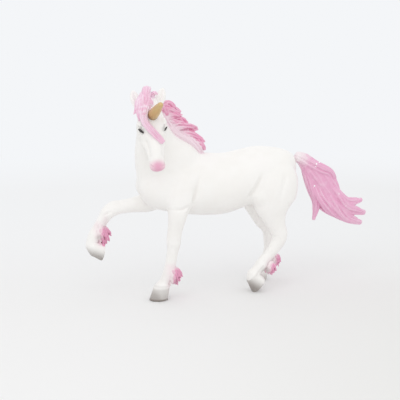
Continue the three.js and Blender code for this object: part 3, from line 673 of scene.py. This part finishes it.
tool = Tool(body_skin)
for way in (-1, 1):
    # socket, upper and lower lid, the hollow over the eye, and the one between cheekbone and nose
    draw_on_head(way, [(4.3, -15.6, 3.9), (5.6, -13.7, 3.2), (6.6, -12.0, 1.9), (7.0, -10.8, 0.8)], 2.2, 0.55)
    draw_on_head(way, [
        (4.0, -14.6, 4.6), (5.2, -12.2, 4.1), (6.6, -10.6, 2.4), (7.3, -10.2, 0.9),
    ], 0.9, -0.42)
    draw_on_head(way, [(4.2, -16.6, 3.4), (5.8, -15.7, 2.0), (6.8, -13.6, 0.9), (7.3, -11.2, 0.2)], 0.8, -0.3)
    tool.swell(head_place @ Vector((way * 5.4, -6.9, 3.0)), (1.8, 1.8, 2.4), -0.5)
    draw_on_head(way, [(4.6, -17.2, 3.0), (4.1, -20.6, 2.6), (3.7, -24.6, 2.3), (3.5, -27.5, 2.0)], 2.0, 0.75)
    # rim of the nostril, and the nostril
    nostril = [(2.2, -31.6, 2.6), (3.2, -31.0, 2.6), (3.9, -29.7, 1.6)]
    draw_on_head(way, nostril, 1.5, -0.3)
    draw_on_head(way, nostril, 0.8, 0.75)
    # corner of the mouth, and the edge of the jaw
    draw_on_head(way, [
        (0.3, -34.0, -1.4), (2.2, -33.2, -1.4), (3.5, -30.6, -1.7), (3.8, -27.2, -2.2), (4.2, -25.8, -2.8),
    ], 0.6, 0.45)
    draw_on_head(way, [
        (4.4, -3.6, -5.4), (5.0, -8.2, -8.6), (4.8, -13.6, -9.2), (3.6, -18.2, -7.2),
    ], 1.6, 0.4)
for way, lean in ears:
    # the hollow of the ear
    hollow = [(ear_across(1, lean, up), ear_height * up, 0.6) for up in (0.0, 0.2, 0.4, 0.6, 0.74)]
    draw_on_head(way, hollow, 1.7, 1.1)
tool.done()
# the raised hoof is rubbed down over its coronet, and its cannon has a line before the tendon
soften(body_skin, 12, patch(tool.points, (-44.6, 10.8, 26.5), (3.4, 9, 6.5)))
tool = Tool(body_skin)
tool.draw([(-43.2, 8.2, 34.5), (-42.2, 8.0, 38.5), (-39.6, 7.8, 41.8), (-35.4, 7.6, 43.4)], 1.1, 0.55)
# the soles are rubbed flat
tool.points[:, 2] = np.maximum(tool.points[:, 2], 0.0)
tool.done()
soften(body_skin, 1, off_feathers * (tool.points[:, 2] > 0.6))

# Parting the body
# The body is soft PVC, moulded in six parts that are glued at hairline seams: the torso, the head
# with the neck, and the four legs. It is white, with pink, grey and black put on by airbrush, and
# painted shade among the feathers and in its hollows.


def wedge(planes):
    """A large block of everything that lies beyond each of a few planes."""
    block = bmesh.new()
    bmesh.ops.create_cube(block, size=400.0)
    for point, outward in planes:
        geometry = block.verts[:] + block.edges[:] + block.faces[:]
        bmesh.ops.bisect_plane(block, geom=geometry, plane_co=point, plane_no=outward, clear_inner=True)
        bmesh.ops.holes_fill(block, edges=[e for e in block.edges if e.is_boundary], sides=0)
    bmesh.ops.recalc_face_normals(block, faces=block.faces[:])
    return cast(block, "block")


def carve(piece, other, operation):
    """Keeps what two shapes share, or cuts the other one away."""
    cut = piece.modifiers.new("cut", "BOOLEAN")
    cut.operation, cut.solver, cut.object = operation, "MANIFOLD", other
    settle(piece)


seam_side, seam_low = 3.64, 45.42
seams = {"head_and_neck": [((-7.1, 0, 69.27), (-0.42, 0, 0.9))]}
for node, way, root, facing, edge, edge_facing in (
    # a point of the glued face and its direction, and the edge of the wedge towards the barrel
    ("left_foreleg", -1, (-7.1, -10.64, seam_low), (-0.3, -0.56, -0.77), 9.8, (-1, 0, 0)),
    ("right_foreleg", 1, (-16.4, 8.96, 47.97), (-0.78, 0.42, -0.46), 9.8, (-1, 0, 0)),
    ("left_hind_leg", -1, (43.6, -8.96, 47.97), (0.1, -0.46, -0.88), 32.6, (1, 0, -0.16)),
    ("right_hind_leg", 1, (43.6, 8.96, 47.97), (0.1, 0.46, -0.88), 32.6, (1, 0, -0.16)),
):
    corner = (edge, way * seam_side, seam_low)
    seams[node] = [(root, facing), (corner, (0, way, -0.14)), (corner, edge_facing)]
# the hoof of the standing foreleg reaches under the raised one
seams["right_foreleg"].append(((0, 0, 12), (0, 0, 1)))

pieces = {"torso": put_out("body_torso", body_skin.data.copy())}
for node, planes in seams.items():
    block = wedge(planes)
    pieces[node] = put_out(f"body_{node}", body_skin.data.copy())
    carve(pieces[node], block, "INTERSECT")
    carve(pieces["torso"], block, "DIFFERENCE")
    bpy.data.objects.remove(block)


def settle_spray(piece, masks):
    """Keeps where the airbrush has been as numbers on the surface."""
    for name, amount in masks.items():
        layer = piece.data.attributes.new(name, "FLOAT", "POINT")
        layer.data.foreach_set("value", np.clip(amount, 0, 1).astype(np.float32))


def blur(piece, values, rounds):
    """Gives each point of a surface the average of the points next to it, round after round."""
    mesh = piece.data
    ends = np.empty(len(mesh.edges) * 2, dtype=int)
    mesh.edges.foreach_get("vertices", ends)
    a, b = ends.reshape(-1, 2).T
    count = np.maximum(np.bincount(ends, minlength=len(values)), 1)
    values = np.array(values, float).reshape(len(values), -1)
    for _ in range(rounds):
        values = np.stack([
            (np.bincount(a, v[b], len(v)) + np.bincount(b, v[a], len(v))) / count for v in values.T
        ], axis=1)
    return values


def hollows(piece, rounds=2):
    """From -1 on a sharp ridge to 1 in a sharp groove."""
    points, normals = spots(piece)
    shift = blur(piece, points, 1) - points
    # the grain is measured on the first edges only
    ends = np.array([edge.vertices for edge in piece.data.edges[:2000]])
    grain = np.linalg.norm(points[ends[:, 0]] - points[ends[:, 1]], axis=1).mean()
    dip = blur(piece, (shift * normals).sum(1), rounds)[:, 0]
    return np.clip(dip * 7 / grain, -1, 1)


def step(values, low, high):
    """From 0 at the low value to 1 at the high one, rounded at both ends."""
    t = np.clip((values - low) / (high - low), 0, 1)
    return t * t * (3 - 2 * t)


def within(place, points):
    """Points of the body in the frame of one of its places."""
    back = np.array(place.inverted())
    return points @ back[:3, :3].T + back[:3, 3]


def spray_body(piece, node):
    """Pink on the muzzle, ears and feathers, and grey on the hooves, with painted shade among the
    feathers and along the standing hoof's sole; the strongest coat shows.
    """
    points = spots(piece)[0]
    away, which = near(points, [f[0] for f in feather_points])
    run, behind = (np.array([f[k] for f in feather_points])[which] for k in (1, 2))
    tuft = (0.3 + 0.7 * step(run, 0.0, 0.5)) * (0.32 + 0.72 * step(behind, -0.1, 0.55))
    # pink overspray and painted shade down the near side of the raised cannon
    cannon_tint_and_shade = patch(points, (-39.0, 8.0, 37.8), (3.4, 3.6, 8.0))
    pink = [fall_off(away - 0.7, 1.3) * tuft, 0.3 * fall_off(away, 4.6), 0.26 * cannon_tint_and_shade]
    # painted shade on the cannon, and in the grooves between the feathers' strands
    grey = [0.09 * cannon_tint_and_shade, 0.5 * np.clip(hollows(piece), 0, 1) * fall_off(away, 2.2)]
    for spot, size, strength in (
        # painted shade under the ends of the side strands
        ((-8.5, -10.2, 8.2), 3.0, 0.45),
        ((-42.3, 7.6, 31.0), 2.6, 0.42),
        ((38.8, -12.6, 10.0), 4.2, 0.62),
    ):
        grey.append(strength * patch(points, spot, size))

    face = within(head_place, points)
    on_skull = (points[:, 2] > 62) & (face[:, 1] > -36) & (np.abs(face[:, 0]) < 12) & (face[:, 2] > -7)
    muzzle = step(-face[:, 1], 26.6, 31.0) * step(face[:, 2], -4.5, -1.0)
    muzzle *= 0.4 + 0.38 * fall_off(np.abs(face[:, 0]), 4.6)
    nostril = 0.55 * patch(np.abs(face), (3.0, 31.0, 2.6), (1.3, 1.5, 2.0))
    temple = 0.2 * patch(face, (3.0, -9.0, 4.0), (5.0, 7.5, 4.0))
    pink += [on_skull * muzzle, on_skull * nostril, on_skull * temple]
    for way, lean in ears:
        up = face[:, 1] / ear_height
        inner = fall_off(np.abs(face[:, 0] - ear_across(way, lean, up)), 2.2)
        pink.append(on_skull * 0.1 * inner * step(up, -0.1, 0.2) * step(face[:, 2], -1.2, -0.2))

    if node in hoof_places:
        local = within(hoof_places[node], points)
        down, toe = -local[:, 2] / hoof_height, -local[:, 0] / 5.0
        close = np.linalg.norm(local[:, :2], axis=1) < 7.5
        if node == "left_foreleg":
            # grey paint down the hoof, and a painted contact shadow along its sole
            shade = 0.4 * step(down, 0.0, 0.3) + 0.16 * step(down, 0.2, 0.9) + 0.4 * step(down, 0.86, 0.98)
            shade += 0.22 * step(toe + 0.3 * down, 0.5, 1.1) * step(down, 0.1, 0.6)
            # pink overspray and painted shade on the pastern above the hoof
            pastern = close * step(-down, 0.0, 0.3) * step(down, -1.6, -0.6)
            pink.append(0.06 * pastern)
            grey.append(0.05 * pastern)
        elif node == "right_foreleg":
            shade = 0.86 * step(toe + 0.16 * (1 - down), -0.1, 1.25)
        elif node == "left_hind_leg":
            shade = 0.88 * step(toe * 0.85 + down * 0.3, -0.05, 1.05)
            grey.append(0.4 * patch(local, (-4.4, -1.5, 1.6), 2.4))
        else:
            shade = 0.5 * step(down, 0.1, 0.9)
        grey.append(shade * close * (down > (-1.3 if node == "right_foreleg" else -0.05)))
        if node != "right_foreleg":
            # the line of the coronet
            grey.append(0.2 * close * fall_off(np.abs(down + 0.02), 0.14))
    masks = {"rose": np.maximum.reduce(pink), "grey": np.maximum.reduce(grey)}
    settle_spray(piece, {**masks, "hollow": 0.5 + 0.5 * hollows(piece, 6)})


# The skin is satin soft PVC, a little warm, with a fine grain; the sprays have soft, specked edges.
white = Paint("white_pvc", Roughness=0.4)
fleck = white.noise(0.35, 3.0)
cloud = white.noise(9.0)
skin = white.mix(white.ramp(cloud, 0.35, 0.65), (0.935, 0.922, 0.902), (0.92, 0.905, 0.88))
# painted shade: the skin darkens in its hollows
skin = white.mix(white.ramp(white.attribute("hollow"), 0.51, 0.7) * 0.4, skin, (0.80, 0.765, 0.725))
rose = white.attribute("rose") * (0.86 + 0.28 * fleck)
skin = white.mix(white.ramp(rose, 0.0, 1.0), skin, (0.78, 0.34, 0.51))
# painted shade: the pink deepens in its hollows
skin = white.mix(white.ramp(white.attribute("hollow"), 0.52, 0.8) * rose * 0.8, skin, (0.5, 0.19, 0.31))
grey = white.attribute("grey") * (0.9 + 0.2 * fleck)
# the grey carries the hoof paint and the painted shade
skin = white.mix(grey, skin, (0.27, 0.235, 0.215))
grain = white.bump(white.noise(0.5, 4.0) + 3.0 * white.noise(4.0, 1.0), 0.02)
white.finish(Base_Color=skin, Normal=grain, Specular_IOR_Level=0.4)

most_triangles = 190_000


def thin(piece):
    """Takes triangles away evenly where a piece has too many to be handed on."""
    triangles = sum(len(face.vertices) - 2 for face in piece.data.polygons)
    if triangles > most_triangles:
        piece.modifiers.new("thin", "DECIMATE").ratio = most_triangles / triangles
        settle(piece)


def hand_in(piece, paint, slot, *nodes):
    """Takes a finished piece from the bench to its place in the part's frame."""
    piece.data.transform(to_row)
    piece.data.polygons.foreach_set("use_smooth", [True] * len(piece.data.polygons))
    piece.data.set_sharp_from_angle(angle=math.radians(50))
    piece.data.materials.clear()
    piece.data.materials.append(paint.material)
    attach(piece, "root")
    if nodes:
        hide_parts(*nodes)


for node, piece in pieces.items():
    thin(piece)
    spray_body(piece, node)
    hand_in(piece, white, "body_white", node)

# Eyes
# Each eye is an almond of glossy black paint on the moulded eyeball, set slanting in its socket
# between the lids.

eye_black = Paint("eye_black", Roughness=0.12)
dark = eye_black.mix(eye_black.noise(1.2), (0.01, 0.009, 0.01), (0.035, 0.024, 0.022))
eye_black.finish(Base_Color=dark, Specular_IOR_Level=0.6)
for way, name, centre, halves in (
    (-1, "right", (-5.7, -13.7, 2.5), (1.85, 0.48, 1.1)),
    (1, "left", (6.1, -13.7, 2.5), (1.6, 0.2, 0.55)),
):
    long_way = Vector((way * 0.52, 0.76, -0.42)).normalized()
    outward = Vector((way * 0.78, 0.0, 0.62))
    outward = (outward - outward.project(long_way)).normalized()
    turn = Matrix((long_way, outward.cross(long_way), outward)).transposed().to_4x4()
    ball = bmesh.new()
    shape = head_place @ Matrix.Translation(centre) @ turn @ Matrix.Diagonal((*halves, 1))
    bmesh.ops.create_uvsphere(ball, u_segments=40, v_segments=24, radius=1.0, matrix=shape)
    hand_in(cast(ball, f"eye_{name}"), eye_black, "body_white")

# Mane
# The mane is one soft PVC moulding of overlapping locks, seated by a rib in a groove along the
# crest of the neck and glued there. It is sprayed pink over white, and paler along its roots.

hair_dice = random.Random(7)
strand_samples = []


def bundle(
    clay, rows, side=(0, 1, 0), strands=9, twist=0.8, wave=0.1,
    fine=1.0, short=0.2, blunt=0.12, core=0.72, pink=1.0,
):
    """Strands laid round a core, which turn a little as they run from its root to its tip.

    Each row is a point of the core, its half width along `side`, and its half depth across. Some
    strands stop `short` by up to that share, and `blunt` is how thick they end. Less `pink` keeps
    them pale."""
    run = through([(*row[:5], row[4]) for row in rows], 6)
    count = len(run)
    lines = np.gradient(run[:, :3], axis=0)
    lines /= np.linalg.norm(lines, axis=1)[:, None]
    across = np.array(side, float) - lines * (lines @ np.array(side, float))[:, None]
    across /= np.linalg.norm(across, axis=1)[:, None]
    deep = np.cross(lines, across)
    inner = [(*row[:3], row[3] * core, row[4] * core, row[4] * core) for row in run[::2]]
    loft(clay, inner, side=side, steps=1, sides=14, domes=(0.3, 0.2))
    for i in range(0, count, 2):
        strand_samples.append((run[i, :3], pink * i / count, 0.5))
    ring = 0.78
    for k in range(strands):
        start = 2 * math.pi * k / strands + hair_dice.uniform(-0.22, 0.22)
        reach = 1 - hair_dice.random() * short
        phase, pace = hair_dice.uniform(0, 6.28), hair_dice.uniform(6, 11)
        tone = hair_dice.random()
        girths = []
        for t in np.linspace(0, reach, 10):
            at = min(t * (count - 1), count - 1.001)
            i = int(at)
            row = run[i] * (1 - at + i) + run[i + 1] * (at - i)
            angle = start + twist * t + wave * math.sin(phase + pace * t)
            spot = row[:3] + across[i] * row[3] * ring * math.cos(angle)
            spot = spot + deep[i] * row[4] * ring * math.sin(angle)
            girth = fine * 3.4 * math.sqrt(row[3] * row[4]) / (strands + 2) + 0.04
            girth *= min(1, (reach - t) * 5 + blunt)
            girths.append((*spot, girth, girth, girth))
            strand_samples.append((spot, pink * t, tone))
        loft(clay, girths, side=side, steps=2, sides=8, domes=(0.5, 0.6))


def lock(clay, path, width, thick, taper=(0.64, 0.96, 1, 0.9, 0.68, 0.2), **ways):
    """A single lock through a few points, as wide and thick as its taper says on the way."""
    run = through(path, 8)[:, :3]
    sizes = np.interp(np.linspace(0, 1, len(run)), np.linspace(0, 1, len(taper)), taper)
    rows = [(*spot, thick * size / 2, width * size / 2) for spot, size in zip(run, sizes)]
    bundle(clay, rows[::2], **ways)


def hair_paint(name, pale, full, deep, start, end, sparkle, relief=0.6, flakes=0.16, apart=1.6):
    """Pink sprayed over white hair: pale at the roots, with glitter; painted shade deepens the grooves
    and a painted highlight lightens the ridges.

    The spray builds up from `start` to `end` of a strand. Flakes lie about `apart` millimetres
    from each other, and `sparkle` is the share of them that shows."""
    faded, ridge_highlight = (0.88, 0.66, 0.77), (0.93, 0.76, 0.85)
    paint = Paint(name, Roughness=0.42)
    patchy = 0.35 * (end - start)
    run = paint.attribute("run") + patchy * (paint.noise(3.5) - 0.5)
    tone, hollow = paint.attribute("tone"), paint.attribute("hollow")
    colour = paint.mix(paint.ramp(run + patchy * (tone - 0.5), start, end), pale, full)
    for thinner in (
        # in clouds, on some strands, and at the tips
        paint.ramp(paint.noise(5.0), 0.5, 0.8) * 0.4,
        paint.ramp(tone, 0.5, 1.0) * 0.22,
        paint.ramp(run, 0.84, 1.0) * 0.3,
    ):
        colour = paint.mix(thinner, colour, faded)
    # painted shade deepens the grooves, and a painted highlight lightens the ridges
    groove_shade = paint.ramp(hollow, 0.53, 0.85) * (0.4 + 0.6 * paint.ramp(run, start, end))
    colour = paint.mix(groove_shade * relief, colour, deep)
    colour = paint.mix(paint.ramp(0.5 - hollow, 0.02, 0.3) * 0.3, colour, ridge_highlight)
    cells = paint.node("TexVoronoi", {"feature": "F1"}, {"Vector": paint.place(), "Scale": 1000 / apart})
    lucky = paint.node("SeparateColor", sockets={0: cells.beside("Color")})
    glitter_glint = cells.under(flakes) * lucky.under(sparkle)
    # glitter flakes, made near-white in the base colour as a painted glint
    colour = paint.mix(glitter_glint, colour, (1.0, 0.97, 1.0))
    grain = paint.bump(paint.noise(0.6, 4.0), 0.03)
    paint.finish(Base_Color=colour, Normal=grain, Roughness=0.42 - 0.25 * glitter_glint)
    return paint


def hand_in_hair(clay, name, grain, rounds, paint, slot, node):
    """Fuses the strands, rubs them smooth, cuts them clear of the body, and sprays them."""
    piece = run_together(clay, name, grain)
    soften(piece, rounds)
    carve(piece, body_skin, "DIFFERENCE")
    thin(piece)
    _, which = near(spots(piece)[0], [sample[0] for sample in strand_samples])
    run, tone = (np.array([sample[k] for sample in strand_samples])[which] for k in (1, 2))
    run, tone = blur(piece, np.stack([run, tone], axis=1), 8).T
    settle_spray(piece, {"run": run, "tone": tone, "hollow": 0.5 + 0.5 * hollows(piece)})
    hand_in(piece, paint, slot, node)


crest = through([
    (-17.43, -3.25, 96.33), (-16.43, -2.61, 94.98), (-15.27, -1.94, 93.36), (-13.78, -1.19, 91.22),
    (-11.98, -0.56, 88.74), (-9.9, -0.09, 86.05), (-7.53, 0.12, 83.2), (-4.7, 0.23, 80.87),
    (-1.29, 0.3, 79.34), (3.72, 0.22, 75.91), (9.8, 0, 71.02),
], 6)
neck_run = through(neck_rows, 12)


def on_crest(share):
    """A point of the neck's crest, from the poll down to the withers."""
    return Vector([np.interp(share * (len(crest) - 1), range(len(crest)), crest[:, i]) for i in range(3)])


def on_neck(share, angle, off):
    """A point off the neck's skin: how far up it, how far round from the crest to the right."""
    at = share * (len(neck_run) - 1)
    row, after = neck_run[int(at)], neck_run[min(int(at) + 1, len(neck_run) - 1)]
    line = Vector(after[:3] - neck_run[int(at) - 1][:3]).normalized()
    side = Vector(row[6:9])
    side = (side - side.project(line)).normalized()
    swing = math.radians(angle)
    point = Vector(row[:3]) - line.cross(side) * (row[4] + off) * math.cos(swing)
    return point + side * (row[3] + off) * math.sin(swing)


mane_clay = bmesh.new()
mane_sweep, mane_lock = 14, 6
mane_rows = (
    # share of the crest, and the tip over it: back, to the right and up, as shares of the sweep
    (0.05, 0.52, 0.04, -0.2),
    (0.17, 0.77, 0.08, 0.08),
    (0.31, 0.87, 0.1, 0.08),
    (0.46, 0.97, 0.14, -0.05),
    (0.61, 1.13, 0.16, -0.03),
    (0.75, 1.08, 0.14, -0.28),
    (0.88, 0.66, 0.1, -0.32),
)
for share, *tip in mane_rows:
    root, sweep = on_crest(share), Vector(tip) * mane_sweep
    middle = root + sweep * 0.5 + Vector((0, 0.06, 0.2)) * mane_lock
    path = [root - sweep * 0.16, middle, root + sweep * 0.97]
    lock(mane_clay, path, mane_lock * 0.92, 0.62 * mane_lock, strands=10, wave=0.4, short=0.22, blunt=0.8)
tips = np.array(mane_rows)
for i in range(13):
    # smaller locks that cross the large ones, on both sides
    share = 0.05 + 0.07 * i
    back, right, up = (np.interp(share, tips[:, 0], tips[:, k]) for k in (1, 2, 3))
    for way in (-1, 1):
        root = on_crest(min(share + hair_dice.uniform(-0.02, 0.02), 0.93))
        reach = hair_dice.uniform(0.68, 0.95)
        lift = hair_dice.uniform(-0.12, 0.1)
        sweep = Vector((back * reach, right * reach, up * reach + lift)) * mane_sweep
        bend = Vector((0, way * 1.9, hair_dice.uniform(0.2, 1.8)))
        aside = Vector((0, way, 0))
        path = [root - sweep * 0.1 + aside * 0.9, root + sweep * 0.45 + bend, root + sweep + aside * 0.7]
        lock(mane_clay, path, 2.9, 2.0, strands=5, wave=0.35, twist=1.4, short=0.25, blunt=0.7)
for low, high, angle, off, wide in (
    (0.06, 0.62, -16, 0.5, 3.4),
    (0.12, 0.78, -9, 0.8, 3.2),
    (0.3, 0.95, -14, 0.4, 3.0),
    (0.03, 0.4, -6, 1.0, 3.0),
):
    # the pale band along the left of the crest
    path = [on_neck(high - (high - low) * t, angle - 5 * math.sin(3.1 * t), off) for t in (0, 0.33, 0.66, 1)]
    ways = {"strands": 7, "wave": 0.2, "twist": 0.5, "side": (0.3, 0.9, 0.2), "pink": 0.2}
    lock(mane_clay, path, wide, 2.0, (0.3, 0.8, 1, 1, 0.8, 0.3), **ways)
for share in (0.9, 0.79, 0.68, 0.57, 0.46, 0.35):
    # the right side, where the mane lies on the neck
    over = ((-6, 0, 0.4), (40, 0.02, 1.4), (88, 0.1, 0.7))
    path = [on_neck(share - shift, angle, off) for angle, shift, off in over]
    lock(mane_clay, path, 5.4, 3.6, side=(0.4, 0.8, 0.4), wave=0.25, pink=0.7)
# what joins the locks under their roots, and the rib that seats the mane in the neck
under = [(*(on_crest(r[0]) + Vector(r[1:]) * mane_sweep * 0.36), 1.5, 3.3, 3.3) for r in mane_rows]
loft(mane_clay, under, steps=3, sides=14)
rib = [(*on_crest(share), 1.3, 1.3, 1.3) for share in (0.06, 0.26, 0.46, 0.66, 0.84)]
loft(mane_clay, rib, steps=3, sides=12)

mane_paint = hair_paint(
    "mane_pink", pale=(0.87, 0.70, 0.77), full=(0.82, 0.33, 0.51), deep=(0.62, 0.22, 0.37),
    start=0.25, end=0.66, sparkle=0.03,
)
hand_in_hair(mane_clay, "mane_locks", 0.2, 5, mane_paint, "hair_pink", "mane")

# Tail
# The tail is one soft PVC moulding of long locks, pegged in the dock and glued there. It is sprayed
# pink almost from its root, with glitter in the paint.

tail_clay, strand_samples = bmesh.new(), []
dock = Vector((60.08, 0, 66.41))
tail_back, tail_drop = 42, 38
tail_width, tail_thick = 17, 9


def tail_point(back, down, out=0.0):
    """A point of the tail, as shares of how far it reaches back and drops, and to one side."""
    return dock + Vector((tail_back * back, 4.5 * out, -tail_drop * down))


bundle(tail_clay, [
    (*tail_point(back, down), thick * tail_thick * 0.98, wide * tail_width * 0.98)
    for back, down, thick, wide in (
        (0.03, 0.0, 0.22, 0.17),
        (0.12, 0.04, 0.3, 0.24),
        (0.22, 0.15, 0.38, 0.33),
        (0.35, 0.295, 0.46, 0.45),
        (0.44, 0.44, 0.5, 0.51),
        (0.53, 0.6, 0.46, 0.46),
        (0.66, 0.76, 0.28, 0.3),
    )
], strands=24, twist=0.35, wave=0.14, core=0.88, fine=1.25, short=0.1)
for width, spread, *path in (
    # share of the tail's width, how far apart the two locks of a pair lie, and the way they take
    (0.33, 1, (0.03, 0.01), (0.34, 0.17), (0.48, 0.25), (0.6, 0.4)),
    (0.32, 1, (0.38, 0.24), (0.59, 0.55), (0.76, 0.68), (0.98, 0.67)),
    (0.42, 1, (0.38, 0.34), (0.56, 0.58), (0.76, 0.76), (1.03, 0.86)),
    (0.42, 1, (0.38, 0.46), (0.52, 0.68), (0.7, 0.87), (0.98, 1.0)),
    (0.4, 1, (0.3, 0.42), (0.38, 0.6), (0.53, 0.78), (0.82, 0.95)),
    (0.27, 0.45, (0.15, 0.2), (0.25, 0.44), (0.325, 0.66), (0.295, 0.9)),
):
    # what fills the tail between the two locks
    heart = [
        (*tail_point(*spot), 1.9 * size, *[0.34 * width * tail_width * size] * 2)
        for spot, size in zip(path, (0.8, 1.0, 0.95, 0.55))
    ]
    loft(tail_clay, heart, steps=3, sides=14, domes=(0.4, 0.4))
    for way in (-1, 1):
        route = [tail_point(*spot, way * spread * out) for spot, out in zip(path, (0.3, 0.62, 0.55, 0.15))]
        sizes = (width * tail_width, 0.6 * width * tail_width)
        lock(tail_clay, route, *sizes, (0.64, 0.96, 1, 0.9, 0.7, 0.42), wave=0.2, blunt=0.8)
# the spray is judged by how far down the whole tail a strand lies
strand_samples = [
    (spot, 0.5 * ((spot[0] - dock.x) / tail_back + (dock.z - spot[2]) / tail_drop), tone)
    for spot, _, tone in strand_samples
]
tail_paint = hair_paint(
    "tail_pink", pale=(0.90, 0.82, 0.84), full=(0.82, 0.42, 0.61), deep=(0.72, 0.33, 0.50),
    start=0.0, end=0.17, sparkle=0.2, relief=0.16, flakes=0.22, apart=2.2,
)
hand_in_hair(tail_clay, "tail_locks", 0.22, 13, tail_paint, "tail_pink", "tail")

# Forelock
# The forelock is a small soft PVC moulding, pegged between the ears and glued there. Its locks
# stand up in a peak and fall over the brow, and one strand crosses the face.

forelock_clay, strand_samples = bmesh.new(), []
over_head = head_place.col[0][:3]


def head_lock(across, deep, path, **ways):
    """A lock in the head's own frame, with its size across the head and its depth."""
    path = [head_place @ Vector(spot) for spot in path]
    lock(forelock_clay, path, deep, across, side=over_head, wave=0.22, **ways)


for across, deep, *path in (
    # the peak, two locks on its right, the lobe on its left, and three falls over the brow
    (4.4, 2.8, (0, -1.5, -1), (-0.6, 4.6, 0.6), (-0.2, 6.4, 3.0), (-1.6, 2.8, 5.6), (-2.6, -3, 6.8)),
    (3.8, 2.8, (-1.5, -1, -0.5), (-2.4, 2.2, 2.2), (-4.8, 0.0, 4.8), (-6.7, -3.6, 5.6), (-8.6, -6.2, 5.2)),
    (3.2, 2.6, (-2, -2, 0), (-3.8, 0.4, 2.4), (-5.7, -0.4, 3.8), (-7.3, -2.4, 4.4)),
    (2.6, 2.2, (2, -1, -0.5), (2.4, 3.4, 1.6), (3.2, 3.9, 3.0), (4.6, 2.8, 3.8)),
    (3.2, 2.4, (0.6, -1, 0), (0.1, 4.0, 2.2), (-0.7, 2.0, 5.0), (-1.5, -3.4, 6.6)),
    (4.4, 2.6, (-0.8, -1, 0), (-1.9, 3.6, 3.0), (-3.4, 0.0, 6.4), (-4.2, -7.2, 7.0)),
    (3.6, 2.4, (-2.2, -1, 2), (-4.6, 0.4, 5.4), (-6.0, -4.8, 6.0), (-6.4, -9.6, 4.6)),
):
    head_lock(across, deep, path)
# the strand that crosses the face
head_lock(4.2, 1.6, [
    (-1.6, 1, 4.6), (-3.6, -4.6, 6.8), (-4.1, -9.8, 6.3), (-0.9, -15.2, 5.7), (3.9, -20.6, 4.0),
], taper=(1.0, 1.2, 1.0, 0.86, 0.88, 0.8), blunt=0.5, short=0.16)
egg(forelock_clay, (-1.5, -0.8, 2.9), (3.6, 3.5, 3.6), place=head_place)
egg(forelock_clay, (-3.2, -4.6, 4.1), (3.6, 5.2, 2.7), place=head_place)
forelock_paint = hair_paint(
    "forelock_pink", pale=(0.90, 0.70, 0.82), full=(0.85, 0.47, 0.64), deep=(0.76, 0.40, 0.57),
    start=0.3, end=0.95, sparkle=0.015, relief=0.36,
)
hand_in_hair(forelock_clay, "forelock_locks", 0.18, 6, forelock_paint, "hair_pink", "forelock")
# the whole body was kept until here, to cut the hair to it
bpy.data.objects.remove(body_skin)

# Horn
# The horn is a small plastic cone, pegged in the forehead and glued there. Its gold paint is
# darker round the foot, and a painted highlight lightens it towards the tip.

horn_length = 19
horn_foot = head_place @ Vector((0.32, -7.37, 5.02))
horn_axis = Vector((-0.098, -0.922, 0.375)).normalized()
horn_clay = bmesh.new()
loft(horn_clay, [
    (*(horn_foot + horn_axis * horn_length * share), half, half, half)
    for share, half in ((-0.08, 2.5), (0.08, 2.5), (0.3, 2.34), (0.55, 1.98), (0.78, 1.52), (0.89, 1.26))
], steps=6, sides=40, domes=(0.3, 1.0))
horn = cast(horn_clay, "horn_cone")
share = (spots(horn)[0] - np.array(horn_foot)) @ np.array(horn_axis) / horn_length
settle_spray(horn, {"run": share})

gold = Paint("gold_paint", Roughness=0.34, Metallic=0.35)
foot_to_tip_highlight = gold.attribute("run") + 0.3 * (gold.noise(2.0, 3.0) - 0.5)
metal = gold.mix(gold.ramp(foot_to_tip_highlight, -0.1, 0.35), (0.34, 0.22, 0.11), (0.63, 0.43, 0.17))
# painted highlight towards the tip
metal = gold.mix(gold.ramp(foot_to_tip_highlight, 0.6, 1.1) * 0.6, metal, (0.68, 0.51, 0.27))
gold.finish(Base_Color=metal, Normal=gold.bump(gold.noise(0.8, 3.0), 0.03))
hand_in(horn, gold, "horn_gold", "horn")
